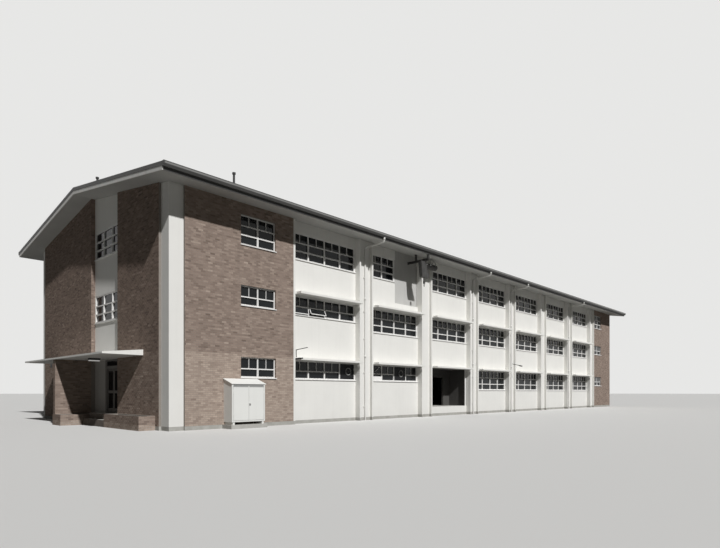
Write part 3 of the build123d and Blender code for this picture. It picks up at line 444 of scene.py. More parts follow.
NODE_MATERIALS = {
    "mortar": ("near_front_brick_wall", "far_front_brick_wall", "back_brick_walls",
               "near_end_right_brick_wall", "near_end_left_brick_wall", "far_end_brick_walls",
               "wing_wall", "planter_walls"),
    "concrete": ("ground_floor_slab", "first_floor_slab", "second_floor_slab", "cabinet_pad"),
    "step": ("entrance_landing",),
    "side_panel": ("entrance_side_panel",),
    "white": ("corner_piers", "stair_strip_wall", "far_strip_wall", "front_pilasters", "back_pilasters",
              "edge_fins", "front_ground_panels", "front_first_panels", "front_second_panels",
              "front_eaves_panels", "back_panels", "hoods", "entrance_canopy"),
    "porch": ("porch_lining", "porch_back_wall"),
    "frame": ("front_ground_windows", "front_first_windows", "front_second_windows", "back_windows",
              "brick_windows", "strip_windows"),
    "glass": ("bay_glass", "brick_and_strip_glass", "door_glass_left", "door_glass_right"),
    "sheet": ("front_roof_sheet", "back_roof_sheet", "ridge_cap"),
    "dark": ("roof_vents",),
    "lining": ("front_roof_lining", "back_roof_lining"),
    "gutter": ("gutters", "fascias"),
    "capping": ("barge_cappings",),
    "barge": ("barge_boards",),
    "pipe": ("downpipes",),
    "door": ("entrance_door_left", "entrance_door_right"),
    "door_frame": ("entrance_frame",),
    "cabinet": ("meter_cabinet", "cabinet_door_left", "cabinet_door_right"),
    "lid": ("meter_cabinet_lid",),
    "loading": ("loading_panel",),
    "hoist": ("hoist_beam", "hoist_block"),
}


def dress_nodes():
    """Give every solid its material."""
    for key, names in NODE_MATERIALS.items():
        for name in names:
            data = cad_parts[name].data
            data.materials.clear()
            data.materials.append(MATERIALS[key])


# Mesh building

BOX_FACES = ((0, 3, 2, 1), (4, 5, 6, 7), (0, 1, 5, 4), (1, 2, 6, 5), (2, 3, 7, 6), (3, 0, 4, 7))


def add_piece(name, vertices, faces, material, body=BODY, slot=None, bevel=0.0, smooth=False):
    """Mesh object that rides on a body."""
    mesh = bpy.data.meshes.new(name)
    mesh.from_pydata([tuple(point) for point in vertices], [], faces)
    mesh.materials.append(MATERIALS[material])
    mesh.validate()
    if smooth:
        mesh.shade_smooth()
    piece = bpy.data.objects.new(name, mesh)
    bpy.context.scene.collection.objects.link(piece)
    if bevel:
        modifier = piece.modifiers.new("edges", "BEVEL")
        modifier.width = bevel
        modifier.segments = 1
        modifier.limit_method = "ANGLE"
    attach(piece, body)
    return piece


def on(face, a0, a1, d0, d1, z0, z1):
    """Two corners of a box on one face: a runs along it, d runs inward."""
    if face == "front":
        return (a0, d0, z0), (a1, d1, z1)
    if face == "back":
        return (a0, DEPTH - d1, z0), (a1, DEPTH - d0, z1)
    if face == "near":
        return (d0, a0, z0), (d1, a1, z1)
    return (LENGTH - d1, a0, z0), (LENGTH - d0, a1, z1)


def add_boxes(name, boxes, material, **options):
    """Many boxes joined in one mesh; each box is a pair of corners."""
    vertices = []
    faces = []
    for low, high in boxes:
        start = len(vertices)
        for z in (low[2], high[2]):
            for x, y in ((low[0], low[1]), (high[0], low[1]), (high[0], high[1]), (low[0], high[1])):
                vertices.append(at(x, y, z))
        faces += [tuple(start + corner for corner in face) for face in BOX_FACES]
    return add_piece(name, vertices, faces, material, **options)


def add_prisms(name, prisms, material, **options):
    """Outlines drawn out along X or Y; each prism is axis, outline, start, end."""
    vertices = []
    faces = []
    for axis, outline, low, high in prisms:
        start = len(vertices)
        count = len(outline)
        for along in (low, high):
            for across, z in outline:
                vertices.append(at(along, across, z) if axis == "x" else at(across, along, z))
        faces.append(tuple(range(start, start + count)))
        faces.append(tuple(range(start + 2 * count - 1, start + count - 1, -1)))
        for corner in range(count):
            following = (corner + 1) % count
            faces.append((start + corner, start + count + corner,
                          start + count + following, start + following))
    return add_piece(name, vertices, faces, material, **options)


def tube(points, radius, sides=12):
    """Vertices and faces of a round bar through some points."""
    vertices = []
    faces = []
    path = [Vector(point) for point in points]
    for index, point in enumerate(path):
        before = path[max(index - 1, 0)]
        after = path[min(index + 1, len(path) - 1)]
        along = (after - before).normalized()
        side = along.cross(Vector((0, 0, 1)))
        if side.length < 1e-4:
            side = along.cross(Vector((0, 1, 0)))
        side.normalize()
        up = side.cross(along)
        for step in range(sides):
            angle = 2 * math.pi * step / sides
            vertices.append(point + radius * (math.cos(angle) * side + math.sin(angle) * up))
    for ring in range(len(path) - 1):
        for step in range(sides):
            following = (step + 1) % sides
            faces.append((ring * sides + step, ring * sides + following,
                          (ring + 1) * sides + following, (ring + 1) * sides + step))
    faces.append(tuple(range(sides - 1, -1, -1)))
    last = (len(path) - 1) * sides
    faces.append(tuple(range(last, last + sides)))
    return vertices, faces


def add_tubes(name, bars, material, **options):
    """Several round bars in one mesh; each is points and a radius."""
    vertices = []
    faces = []
    for points, radius in bars:
        made, rings = tube([at(*point) for point in points], radius)
        start = len(vertices)
        vertices += made
        faces += [tuple(start + corner for corner in face) for face in rings]
    return add_piece(name, vertices, faces, material, smooth=True, **options)


# Windows

BAY_DEPTH = PANEL_SET_BACK + FRAME_REVEAL


def pilaster_start(number):
    """Near edge of a pilaster; the first is number 1."""
    return FIRST_PILASTER + (number - 1) * BAY


def bay_span(number):
    """Ends of the bay before a pilaster."""
    start = pilaster_start(number) - BAY + PILASTER_WIDTH
    return start, pilaster_start(number)


def unit_spans(start, end, units, jamb):
    """Clear spans between the mullions of one window."""
    width = (end - start - 2 * jamb - (units - 1) * MULLION) / units
    starts = [start + jamb + unit * (width + MULLION) for unit in range(units)]
    return [(low, low + width) for low in starts]


def bay_window(side, storey, number):
    """Start, end, levels and units of one bay's window."""
    start, end = bay_span(number)
    levels, units = ROWS[storey], BAY_UNITS
    if side == "front":
        if (storey == "ground" and number < DOORWAY_BAY) or (storey == "first" and number == 1):
            levels = SHORT_ROWS[storey]
        if storey == "second" and number == LOADING_BAY:
            end = unit_spans(start, end, units, BAY_JAMB)[1][1] + MULLION
            units = 2
    return start, end, levels, units


def windows():
    """Every window: face, depth, start, end, levels from the top down, units, jamb."""
    found = []
    for side in SIDES:
        for storey in ROWS:
            for number in range(1, PILASTER_COUNT + 1):
                if (side, storey, number) != ("front", "ground", DOORWAY_BAY):
                    found.append((side, BAY_DEPTH, *bay_window(side, storey, number), BAY_JAMB))
        near = NEAR_BRICK_END - BRICK_WINDOW_FROM_END - BRICK_WINDOW_WIDTH
        for start in (near, FAR_BRICK + FAR_WINDOW_FROM_BAYS):
            for levels in BRICK_ROWS.values():
                found.append((side, BRICK_WINDOW_REVEAL, start, start + BRICK_WINDOW_WIDTH,
                              levels, BRICK_UNITS, FRAME_BORDER))
    for face in ("near", "far"):
        for storey, levels in ROWS.items():
            if face == "far" or storey != "ground":
                span = (STRIP_START + STRIP_WINDOW_GAP, STRIP_END - STRIP_WINDOW_GAP)
                depth = STRIP_SET_BACK + STRIP_WINDOW_REVEAL
                found.append((face, depth, *span, levels, STRIP_UNITS, FRAME_BORDER))
    return found


def in_brick(units, jamb):
    """Whether a window with these units and jambs is one in a brick wall."""
    return units == BRICK_UNITS and jamb == FRAME_BORDER


GLAZING_BAR = 0.010
BAR_SET_BACK = 0.004
SASH_BORDER = 0.0045
SASH_PROUD = 0.005
OPEN_SASH_EDGE = 0.020
OPEN_SASH_THICK = 0.014
OPEN_PANE_THICK = 0.003

# Lights of the front that differ, by storey, bay and unit; the opened ones with their angles
BLANK_UNITS = {("ground", 1, 3), ("ground", 2, 2)}
SLANTED_UNIT = ("ground", 2, 0)
OPEN_SASHES = {("first", 1, 0): 10, ("first", 1, 1): 26}


def unit_key(face, start, levels, unit):
    """Storey, bay and unit of a light in a bay of the front, or None elsewhere."""
    if face != "front":
        return None
    storey = next(name for name, rows in ROWS.items() if rows[0] == levels[0])
    number = round((start - bay_span(1)[0]) / BAY) + 1
    return storey, number, unit


def light_ring(a0, a1, z0, z1):
    """Four bars of a thin frame round one light."""
    return ((a0, a1, z0, z0 + SASH_BORDER), (a0, a1, z1 - SASH_BORDER, z1),
            (a0, a0 + SASH_BORDER, z0 + SASH_BORDER, z1 - SASH_BORDER),
            (a1 - SASH_BORDER, a1, z0 + SASH_BORDER, z1 - SASH_BORDER))


def open_sash(a0, a1, z0, z1, angle):
    """Top-hung sash swung outward: frame bars and pane as prisms."""
    out, down = math.sin(math.radians(angle)), math.cos(math.radians(angle))
    pivot = BAY_DEPTH - SASH_PROUD

    def section(near, far, thick):
        points = [(near, 0.0), (far, 0.0), (far, thick), (near, thick)]
        return [(pivot - out * t - down * w, z1 - down * t + out * w) for t, w in points]

    height, edge, thick = z1 - z0, OPEN_SASH_EDGE, OPEN_SASH_THICK
    frames = [("x", section(0, edge, thick), a0, a1),
              ("x", section(height - edge, height, thick), a0, a1)]
    for low in (a0, a1 - edge):
        frames.append(("x", section(0, height, thick), low, low + edge))
    pane = ("x", section(edge, height - edge, OPEN_PANE_THICK), a0 + edge, a1 - edge)
    return frames, pane


def window_bars():
    """Centre bars in the top lights and sash frames round the lower lights."""
    bars = []
    sashes = []
    opened = []
    panes = []
    for face, depth, start, end, levels, units, jamb in windows():
        back = depth + FRAME_DEPTH
        for unit, (a0, a1) in enumerate(unit_spans(start, end, units, jamb)):
            key = None if in_brick(units, jamb) else unit_key(face, start, levels, unit)
            if key in BLANK_UNITS:
                continue
            if units != STRIP_UNITS and key != SLANTED_UNIT:
                middle = (a0 + a1) / 2
                bars.append(on(face, middle - GLAZING_BAR / 2, middle + GLAZING_BAR / 2,
                               depth + BAR_SET_BACK, back,
                               levels[1] + TRANSOM / 2, levels[0] - FRAME_BORDER))
            for upper, lower in zip(levels[1:], levels[2:]):
                z0 = lower + (FRAME_BORDER if lower == levels[-1] else TRANSOM / 2)
                z1 = upper - TRANSOM / 2
                if key in OPEN_SASHES:
                    frames, pane = open_sash(a0, a1, z0, z1, OPEN_SASHES[key])
                    opened += frames
                    panes.append(pane)
                else:
                    for s0, s1, low, high in light_ring(a0, a1, z0, z1):
                        sashes.append(on(face, s0, s1, depth - SASH_PROUD, back, low, high))
    add_boxes("glazing_bars", bars, "frame", slot="window_paint")
    add_boxes("window_sashes", sashes, "frame", slot="window_paint")
    add_prisms("open_sash_frames", opened, "frame", slot="window_paint")
    add_prisms("open_sash_panes", panes, "glass", slot="glass")


PLATE_HALF = 0.004
FAN_RADIUS = 0.100
FAN_ASIDE = 0.04
FAN_RAISED = 0.005
FAN_PROUD = 0.010
FAN_RING = 0.016
FAN_HUB = 0.030
FAN_STEPS = 32


def short_unit(storey, number, unit):
    """Ends and levels of one light in a short row."""
    a0, a1 = unit_spans(*bay_span(number), BAY_UNITS, BAY_JAMB)[unit]
    return a0, a1, SHORT_ROWS[storey]


def fan_plates():
    """Blanked lights: a plate with a ring-shaped fan cover."""
    plates = []
    rings = []
    hubs = []
    for key in sorted(BLANK_UNITS):
        a0, a1, rows = short_unit(*key)
        foot, top = rows[-1] + FRAME_BORDER, rows[0] - FRAME_BORDER
        plates.append(on("front", a0, a1, BAY_DEPTH - PLATE_HALF, BAY_DEPTH + PLATE_HALF, foot, top))
        x, z = (a0 + a1) / 2 + FAN_ASIDE, (foot + top) / 2 + FAN_RAISED
        angles = np.linspace(0, 2 * math.pi, FAN_STEPS + 1)
        circle = [(x + FAN_RADIUS * math.cos(angle), BAY_DEPTH - FAN_PROUD,
                   z + FAN_RADIUS * math.sin(angle)) for angle in angles]
        rings.append((circle, FAN_RING))
        hubs.append(([(x, BAY_DEPTH, z), (x, BAY_DEPTH - FAN_RING, z)], FAN_HUB))
    add_boxes("fan_plates", plates, "black")
    add_tubes("fan_rings", rings, "fan")
    add_tubes("fan_hubs", hubs, "dark")


def slanted_blind():
    """Slanting rail in one light, over a pale lower sash."""
    a0, a1, rows = short_unit(*SLANTED_UNIT)
    foot, middle = rows[-1] + FRAME_BORDER, rows[1] - TRANSOM / 2
    sash_height, sash_depths = 0.110, (0.006, 0.012)
    add_boxes("pale_lower_sash", [on("front", a0 + SASH_BORDER, a1 - SASH_BORDER,
                                     BAY_DEPTH + sash_depths[0], BAY_DEPTH + sash_depths[1],
                                     foot + SASH_BORDER, foot + sash_height)], "frame")
    rail_depth, rail_radius = BAY_DEPTH + 0.008, 0.008
    low_end, high_end = (a0 + 0.27, middle + 0.075), (a1 - 0.09, middle + 0.22)
    rail = [(x, rail_depth, z) for x, z in (low_end, high_end)]
    add_tubes("slanted_rail", [(rail, rail_radius)], "frame")


SILL_PROUD = 0.027
SILL_HEIGHT = 0.024
SILL_LAP = 0.012
SILL_FALL = 0.004
SILL_UNDERCUT = 0.002
EAR_DROP = 0.003


def window_sills():
    """Sloped ledge under every window, with short ears in the brick walls."""
    prisms = []
    for face, depth, start, end, levels, units, jamb in windows():
        foot = levels[-1]
        brick = in_brick(units, jamb)
        wall = 0.0 if brick else PANEL_SET_BACK if face in SIDES else STRIP_SET_BACK
        out = wall - SILL_PROUD
        section = [(out, foot - SILL_HEIGHT), (depth, foot - SILL_HEIGHT + SILL_UNDERCUT),
                   (depth, foot + SILL_FALL), (out, foot - SILL_FALL)]
        if face in ("back", "far"):
            extent = DEPTH if face == "back" else LENGTH
            section = [(extent - d, z) for d, z in section]
        prisms.append(("x" if face in SIDES else "y", section, start, end))
        if brick:
            nose = (DEPTH - out, DEPTH - wall) if face == "back" else (out, wall)
            ear = [(nose[0], foot - SILL_HEIGHT), (nose[1], foot - SILL_HEIGHT),
                   (nose[1], foot - EAR_DROP), (nose[0], foot - SILL_FALL)]
            prisms.append(("x", ear, end, end + SILL_LAP))
            prisms.append(("x", ear, start - SILL_LAP, start))
    add_prisms("window_sills", prisms, "frame", slot="window_paint")


# Brickwork

COURSE = 0.043
BRICK_LENGTH = 0.120
JOINT = 0.005
BRICK_PROUD = 0.002
TONE_SPREAD = 0.11

# The bricks of the ground storey are paler up to this height
PALER_TOP = 1.62
# On the end walls the paler lower bricks are partly the bricks' own tone, as on the front, and partly
# painted light: the ground's bounce at the foot of these walls
END_TONES_WITH_PAINTED_BOUNCE = {"tone": 0.40, "paler_below": PALER_TOP, "paler": 0.56}

# Foot of the near strip's bricks, on the canopy; outer face, ends and top of the two planters
STRIP_BRICK_FOOT = 1.701
PLANTERS = ((-0.368, 0.565, 2.413, 0.225), (-0.900, 3.735, 4.317, 0.182))


def cut_rectangle(rectangle, hole):
    """Rectangle less a hole, as up to four rectangles."""
    a0, a1, z0, z1 = rectangle
    h0, h1, low, high = hole
    if h0 >= a1 or h1 <= a0 or low >= z1 or high <= z0:
        return [rectangle]
    parts = []
    if h0 > a0:
        parts.append((a0, h0, z0, z1))
    if h1 < a1:
        parts.append((h1, a1, z0, z1))
    inner = (max(a0, h0), min(a1, h1))
    if low > z0:
        parts.append((*inner, z0, low))
    if high < z1:
        parts.append((*inner, high, z1))
    return parts


def brick_rectangles(a0, a1, foot, top_at, holes):
    """Faces of the bricks in running bond between two ends."""
    found = []
    rows = int((max(top_at(a0), top_at(a1), top_at((a0 + a1) / 2)) - foot) / COURSE) + 1
    for row in range(rows):
        z0 = foot + row * COURSE + JOINT / 2
        shift = BRICK_LENGTH / 2 if row % 2 else 0.0
        first = math.floor((a0 - shift) / BRICK_LENGTH)
        last = math.ceil((a1 - shift) / BRICK_LENGTH)
        for number in range(first, last):
            low = max(a0, number * BRICK_LENGTH + shift + JOINT / 2)
            high = min(a1, (number + 1) * BRICK_LENGTH + shift - JOINT / 2)
            z1 = min(z0 + COURSE - JOINT, top_at(low), top_at(high))
            if high - low < JOINT or z1 - z0 < JOINT:
                continue
            pieces = [(low, high, z0, z1)]
            for hole in holes:
                pieces = [part for piece in pieces for part in cut_rectangle(piece, hole)]
            found += [part for part in pieces
                      if part[1] - part[0] > JOINT and part[3] - part[2] > JOINT]
    return found


def add_bricks(name, walls, seed, tone=0.56, paler_below=0.0, paler=0.80):
    """Skin of bricks; each wall is corner, along, outward and its rectangles."""
    picker = np.random.default_rng(seed)
    vertices = []
    faces = []
    tones = []
    for corner, along, outward, rectangles in walls:
        for a0, a1, z0, z1 in rectangles:
            start = len(vertices)
            for depth in (0.0, BRICK_PROUD):
                for a, z in ((a0, z0), (a1, z0), (a1, z1), (a0, z1)):
                    point = corner + along * a + outward * depth
                    vertices.append((point.x, point.y, point.z + z))
            faces += [(start + 4, start + 5, start + 6, start + 7)]
            for edge in range(4):
                following = (edge + 1) % 4
                faces.append((start + edge, start + following, start + 4 + following, start + 4 + edge))
            middle = paler if z0 < paler_below else tone
            tones += [float(np.clip(picker.normal(middle, TONE_SPREAD), 0, 1))] * 5
    piece = add_piece(name, vertices, faces, "brick", slot="brick")
    layer = piece.data.attributes.new("tone", "FLOAT", "FACE")
    layer.data.foreach_set("value", tones)
    return piece


X_AXIS, Y_AXIS = Vector((1, 0, 0)), Vector((0, 1, 0))


def side_wall(side, a0, a1, holes):
    """Bricks on a long side of the building."""
    eave = soffit(0)
    rectangles = brick_rectangles(a0, a1, 0.0, lambda a: eave, holes)
    y = 0.0 if side == "front" else DEPTH
    return at(0, y, 0), X_AXIS, -Y_AXIS if side == "front" else Y_AXIS, rectangles


def end_wall(face, a0, a1):
    """Bricks on an end wall, up to the slope of the soffit."""
    rectangles = brick_rectangles(a0, a1, 0.0, soffit, [])
    x = 0.0 if face == "near" else LENGTH
    return at(x, 0, 0), Y_AXIS, -X_AXIS if face == "near" else X_AXIS, rectangles


def brick_holes(side):
    """Window openings in the brick walls of one side."""
    return [(start, end, levels[-1], levels[0])
            for face, _, start, end, levels, units, jamb in windows()
            if face == side and in_brick(units, jamb)]


def flat_top(height):
    return lambda a: height


def low_wall(corner, along, outward, length, top):
    """Bricks on one face of a low wall."""
    return at(*corner), along, outward, brick_rectangles(0.0, length, -BASE_TOP, flat_top(top), [])


def reveal_bricks(side):
    """Bricks in the jambs and heads of the windows in the brick walls."""
    walls = []
    y, inward = (0.0, Y_AXIS) if side == "front" else (DEPTH, -Y_AXIS)
    for start, end, foot, top in brick_holes(side):
        rectangles = brick_rectangles(0.0, BRICK_WINDOW_REVEAL, foot, flat_top(top), [])
        walls.append((at(start, y, 0), inward, X_AXIS, rectangles))
        walls.append((at(end, y, 0), inward, -X_AXIS, rectangles))
    return walls


def strip_reveals(face):
    """Bricks on both sides of the recessed strip of an end wall."""
    x, inward, foot = (0.0, X_AXIS, STRIP_BRICK_FOOT) if face == "near" else (LENGTH, -X_AXIS, 0.0)
    walls = []
    for y, outward in ((STRIP_START, Y_AXIS), (STRIP_END, -Y_AXIS)):
        rectangles = brick_rectangles(0.0, STRIP_SET_BACK, foot, flat_top(soffit(y)), [])
        walls.append((at(x, y, 0), inward, outward, rectangles))
    return walls


def entrance_brick_walls():
    """Faces of the wing wall and of the two planters."""
    walls = []
    low, high = [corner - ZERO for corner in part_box("wing_wall")]
    for y, outward in ((low.y, -Y_AXIS), (high.y, Y_AXIS)):
        walls.append(low_wall((low.x, y, 0), X_AXIS, outward, -low.x, high.z))
    walls.append(low_wall((low.x, low.y, 0), Y_AXIS, -X_AXIS, high.y - low.y, high.z))
    for x0, y0, y1, top in PLANTERS:
        walls.append(low_wall((x0, y0, 0), Y_AXIS, -X_AXIS, y1 - y0, top))
        for y, outward in ((y0, -Y_AXIS), (y1, Y_AXIS)):
            walls.append(low_wall((x0, y, 0), X_AXIS, outward, -x0, top))
    return walls


def brickwork():
    front_holes, back_holes = brick_holes("front"), brick_holes("back")
    add_bricks("near_front_bricks", [side_wall("front", CORNER_PIER, NEAR_BRICK_END, front_holes)], 11,
               paler_below=PALER_TOP, paler=0.84)
    add_bricks("far_front_bricks", [side_wall("front", FAR_BRICK, LENGTH, front_holes)], 12)
    for seed, face, pier in ((13, "near", CORNER_PIER), (14, "far", 0.0)):
        add_bricks(f"{face}_end_bricks",
                   [end_wall(face, pier, STRIP_START), end_wall(face, STRIP_END, DEPTH - pier),
                    *strip_reveals(face)], seed, **END_TONES_WITH_PAINTED_BOUNCE)
    add_bricks("back_bricks",
               [side_wall("back", CORNER_PIER, NEAR_BRICK_END, back_holes),
                side_wall("back", FAR_BRICK, LENGTH, back_holes)], 15)
    add_bricks("entrance_bricks", entrance_brick_walls(), 16)
    add_bricks("reveal_bricks", [*reveal_bricks("front"), *reveal_bricks("back")], 17)


# Roof

CORRUGATION = 0.038
WAVE = 0.0045
WAVE_STEPS = 6
SHEET_METAL = 0.003
BEAD_RADIUS = 0.006
BEAD_DROP = 0.004
BAND_TOP = 0.020
BAND_FOOT = 0.054
BAND_THICKNESS = 0.002
SOCKET_LENGTH = 0.075
SOCKET_WALL = 0.005
JOINT_SOCKETS = ((1.75, 1.83), (3.45, 3.53))
CLIP_HALF_WIDTH = 0.055
CLIP_HEIGHT = 0.022
CLIP_PROUD = 0.004
CLIP_LEVELS = (0.30, 1.30, 2.30, 3.10, 4.10, 4.70)


def corrugated_roof(side):
    """Corrugated sheeting of one slope, in place of the flat sheet."""
    node = f"{side}_roof_sheet"
    low, high = [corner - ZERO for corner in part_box(node)]
    count = int((high.x - low.x) / CORRUGATION) * WAVE_STEPS
    xs = np.linspace(low.x, high.x, count + 1)
    lift = ROOF_BUILD_UP - SHEET_THICKNESS / 2 + WAVE * np.sin(2 * np.pi * (xs - low.x) / CORRUGATION)
    ends = (-EAVE_OVERHANG, RIDGE) if side == "front" else (RIDGE, DEPTH + EAVE_OVERHANG)
    vertices = []
    for drop in (0.0, SHEET_METAL):
        for y in ends:
            vertices += [at(x, y, soffit(y) + rise - drop) for x, rise in zip(xs, lift)]
    row = count + 1
    faces = []
    for index in range(count):
        top = (index, index + 1, row + index + 1, row + index)
        faces.append(top)
        faces.append(tuple(2 * row + corner for corner in reversed(top)))
        for line in (0, row):
            edge = (line + index, line + index + 1)
            faces.append((edge[1], edge[0], 2 * row + edge[0], 2 * row + edge[1]))
    piece = add_piece(f"{side}_corrugated_sheet", vertices, faces, "sheet", slot="roof_sheet")
    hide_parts(node)


def gutter_trim():
    """Rolled bead along both gutters, and a paler band on each gutter's face that is a painted
    highlight where the sun catches its curve.
    """
    x0, x1 = FASCIA_THICKNESS - RAKE_OVERHANG, LENGTH + RAKE_OVERHANG - FASCIA_THICKNESS
    top = FASCIA_FOOT + ROOF_BUILD_UP
    outer = -EAVE_OVERHANG - GUTTER_WIDTH
    beads = []
    bands = []
    for y in (outer + BEAD_RADIUS, DEPTH - outer - BEAD_RADIUS):
        beads.append(([(x0, y, top - BEAD_DROP), (x1, y, top - BEAD_DROP)], BEAD_RADIUS))
    # Painted highlight: a paler band on each gutter's face
    for y in (outer - BAND_THICKNESS / 2, DEPTH - outer - BAND_THICKNESS / 2):
        bands.append(((x0, y, top - BAND_FOOT), (x1, y + BAND_THICKNESS, top - BAND_TOP)))
    add_tubes("gutter_beads", beads, "gutter", slot="gutter_paint")
    add_boxes("gutter_highlight_bands", bands, "gutter_band", slot="gutter_paint")


def pipe_trim():
    """Pale socket at the head of each downpipe, sockets at its joints and clips along it."""
    sockets = []
    clips = []
    wall = WEB_SET_BACK - PIPE_RADIUS - PIPE_GAP
    outlet = -EAVE_OVERHANG - GUTTER_FOOT_WIDTH / 2
    top = FASCIA_FOOT + ROOF_BUILD_UP - GUTTER_HEIGHT
    places = ((outlet, top - SOCKET_LENGTH, top), *((wall, *levels) for levels in JOINT_SOCKETS))
    for number in PIPED_PILASTERS:
        x = pilaster_start(number) + PILASTER_WIDTH / 2
        for side in SIDES:
            for depth, low, high in places:
                y = depth if side == "front" else DEPTH - depth
                sockets.append(([(x, y, low), (x, y, high)], PIPE_RADIUS + SOCKET_WALL))
            for z in CLIP_LEVELS:
                clips.append(on(side, x - CLIP_HALF_WIDTH, x + CLIP_HALF_WIDTH,
                                wall - CLIP_PROUD, WEB_SET_BACK, z, z + CLIP_HEIGHT))
    add_tubes("pipe_sockets", sockets, "pipe", slot="pipe_paint")
    add_boxes("pipe_clips", clips, "pipe", slot="pipe_paint", bevel=0.003)


# Fittings


VENT_FOOT, VENT_TOP = 1.494, 1.647
VENT_START, VENT_END = 7.308, 7.457
CABINET_FRONT = -0.330
CABINET_BAND = (1.412, 2.248)
HEADER_FOOT, HEADER_TOP = 0.887, 0.924
DOOR_BAND_FOOT, DOOR_BAND_TOP = 0.856, 0.879
DOOR_BAND_INSET = 0.012
BAND_PROUD = 0.002
KNOB_PLACE = (1.860, 0.453)
KNOB_PLATE_RADIUS = 0.026


def entrance_fittings():
    """Light fitting under the canopy and a vent on the end wall; the dark colour of the fitting's body
    and of the vent is painted shade.
    """
    # Painted shade: the fitting's body is dark for the shade under the canopy
    body = ((-0.515, 2.955, 1.522), (-0.236, 3.015, CANOPY_UNDERSIDE))
    cover = ((-0.505, 2.960, 1.498), (-0.246, 3.010, 1.522))
    add_boxes("canopy_fitting_body_painted_shade", [body], "dark")
    add_boxes("canopy_fitting_cover", [cover], "lamp", bevel=0.006)
    # Painted shade: the vent's dark plate and slats stand for the shade in its opening
    plate = ((-0.004, VENT_START, VENT_FOOT), (0.0, VENT_END, VENT_TOP))
    slats = [((-0.008, VENT_START, z), (0.0, VENT_END, z + 0.012))
             for z in np.arange(1.500, 1.640, 0.018)]
    add_boxes("wall_vent_painted_shade", [plate, *slats], "dark")


def lamp_brackets():
    """Two thin wall brackets with their lamps on the front."""
    post = [(3.532, -0.012, 1.640), (3.532, -0.012, 1.828)]
    arm = [(3.532, 0.0, 1.828), (3.532, -0.445, 1.866)]
    lamp = ((3.508, -0.265, 1.585), (3.550, -0.004, 1.618))
    add_tubes("near_lamp_bracket", [(post, 0.011), (arm, 0.010)], "dark")
    add_boxes("near_lamp_body", [lamp], "dark", bevel=0.005)
    arm = [(15.400, 0.0, 1.913), (15.400, -0.390, 1.820)]
    lamp = [(15.400, -0.300, 1.835), (15.400, -0.420, 1.806)]
    add_tubes("far_lamp_bracket", [(arm, 0.011), (lamp, 0.024)], "dark")


def cabinet_fittings():
    """Grey louvre bands over and on the cabinet doors, and the plate round the knob; the bands' grey is
    partly painted shade of the recessed top rail.
    """
    x0, x1 = CABINET_BAND
    y = CABINET_FRONT
    # Painted shade in part: the grey louvre bands stand for the recessed, shaded top rail of the
    # cabinet
    plate = ((x0, y - BAND_PROUD, HEADER_FOOT), (x1, y, HEADER_TOP))
    slats = [((x0, y - 0.004, z), (x1, y, z + 0.005)) for z in np.arange(0.890, 0.922, 0.009)]
    add_boxes("header_louvres_painted_shade", [plate, *slats], "louvre")
    for hand in ("left", "right"):
        low, high = [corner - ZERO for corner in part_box(f"cabinet_door_{hand}")]
        band = ((low.x + DOOR_BAND_INSET, y - BAND_PROUD, DOOR_BAND_FOOT),
                (high.x - DOOR_BAND_INSET, y, DOOR_BAND_TOP))
        add_boxes(f"{hand}_door_louvres_painted_shade", [band], "louvre", body=f"cabinet_door_{hand}")
    x, z = KNOB_PLACE
    plate = [(x, y - 0.001, z), (x, y - 0.003, z)]
    add_tubes("knob_plate", [(plate, KNOB_PLATE_RADIUS)], "louvre", body="cabinet_door_right")


def loading_fittings():
    """Dark strip in the joint beside the loading panel, painted shade of the gap, and small parts of
    the hoist.
    """
    panel = PANEL_SET_BACK + 0.044
    # Painted shade: a dark strip standing for the shade in the gap beside the loading panel
    joint = ((8.984, panel - 0.002, 3.600), (8.997, panel, 4.930))
    add_boxes("loading_joint_painted_shade", [joint], "dark")
    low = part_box("hoist_beam")[0] - ZERO
    flange = ((low.x - 0.002, low.y + 0.01, low.z), (low.x, PANEL_SET_BACK, low.z + 0.009))
    add_boxes("beam_flange", [flange], "hoist", slot="hoist_paint")
    bolt_places = ((9.030, 4.955), (9.241, 4.965))
    bolts = [([(x, -0.150, z), (x, -0.202, z)], 0.022) for x, z in bolt_places]
    add_tubes("winch_bolts", bolts, "steel", slot="hoist_paint")
    rail = [(8.985, panel, 5.055), (8.985, -0.200, 5.080), (8.985, -0.430, 5.098)]
    add_tubes("winch_rail", [(rail, 0.010)], "louvre", slot="hoist_paint")
    guard = [(9.330, -0.190, 5.010), (9.400, -0.200, 5.120), (9.434, -0.200, 5.110),
             (9.503, -0.200, 5.020), (9.520, -0.180, 4.960)]
    add_tubes("winch_guard", [(guard, 0.012)], "louvre", slot="hoist_paint")


def porch_fittings():
    """Pale strip on the far jamb of the doorway porch."""
    end = bay_span(DOORWAY_BAY)[1]
    head = ROWS["ground"][0]
    jamb = ((end - 0.078, PANEL_SET_BACK + 0.004, GROUND_FLOOR),
            (end - 0.022, PANEL_SET_BACK + 0.034, head))
    add_boxes("porch_jamb", [jamb], "frame")


# Stage, lights and camera


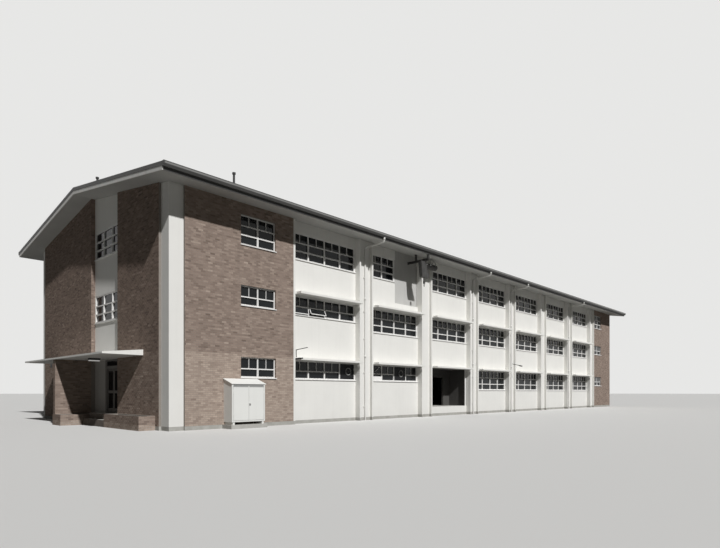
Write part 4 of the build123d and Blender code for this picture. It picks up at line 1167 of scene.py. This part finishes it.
def stage():
    floor_material = Shader("floor", 0.9, specular=0.1)
    seen = seen_rays(floor_material.tree)
    floor_material.colour(floor_material.mix(seen, FLOOR_BOUNCE, FLOOR_SEEN))
    mesh = bpy.data.meshes.new("floor")
    reach = FLOOR_REACH
    mesh.from_pydata([(-reach, -reach, 0), (reach, -reach, 0), (reach, reach, 0), (-reach, reach, 0)],
                     [], [(0, 1, 2, 3)])
    mesh.materials.append(floor_material.material)
    floor = bpy.data.objects.new("floor", mesh)
    bpy.context.scene.collection.objects.link(floor)


def lights():
    world = bpy.data.worlds.new("studio")
    world.use_nodes = True
    tree = world.node_tree
    fill = tree.nodes["Background"]
    fill.inputs[0].default_value = FILL_COLOUR
    fill.inputs[1].default_value = FILL_STRENGTH
    backdrop = tree.nodes.new("ShaderNodeBackground")
    backdrop.inputs[0].default_value = BACKDROP_COLOUR
    blend = tree.nodes.new("ShaderNodeMixShader")
    tree.links.new(seen_rays(tree), blend.inputs[0])
    tree.links.new(fill.outputs[0], blend.inputs[1])
    tree.links.new(backdrop.outputs[0], blend.inputs[2])
    tree.links.new(blend.outputs[0], tree.nodes["World Output"].inputs[0])
    bpy.context.scene.world = world
    data = bpy.data.lights.new("key", "SUN")
    data.energy = SUN_STRENGTH
    data.angle = math.radians(SUN_SPREAD)
    key = bpy.data.objects.new("key", data)
    key.rotation_euler = Vector(SUN_TRAVEL).to_track_quat("-Z", "Y").to_euler()
    bpy.context.scene.collection.objects.link(key)


def camera():
    data = bpy.data.cameras.new("camera")
    width, height = IMAGE_SIZE
    data.sensor_width = SENSOR
    data.lens = FOCAL_PIXELS / width * SENSOR
    data.shift_x = (width / 2 - PRINCIPAL_POINT[0]) / width
    data.shift_y = (PRINCIPAL_POINT[1] - height / 2) / width
    data.clip_end = CLIP_END
    viewer = bpy.data.objects.new("camera", data)
    viewer.location = at(*CAMERA_PLACE)
    viewer.rotation_euler = (math.pi / 2, 0.0, -CAMERA_HEADING)
    bpy.context.scene.collection.objects.link(viewer)
    bpy.context.scene.camera = viewer


camera()
lights()
stage()
dress_nodes()
window_bars()
window_sills()
brickwork()
for side in SIDES:
    corrugated_roof(side)
gutter_trim()
pipe_trim()
fan_plates()
slanted_blind()
entrance_fittings()
lamp_brackets()
cabinet_fittings()
loading_fittings()
porch_fittings()
bpy.context.scene.view_settings.view_transform = "Standard"
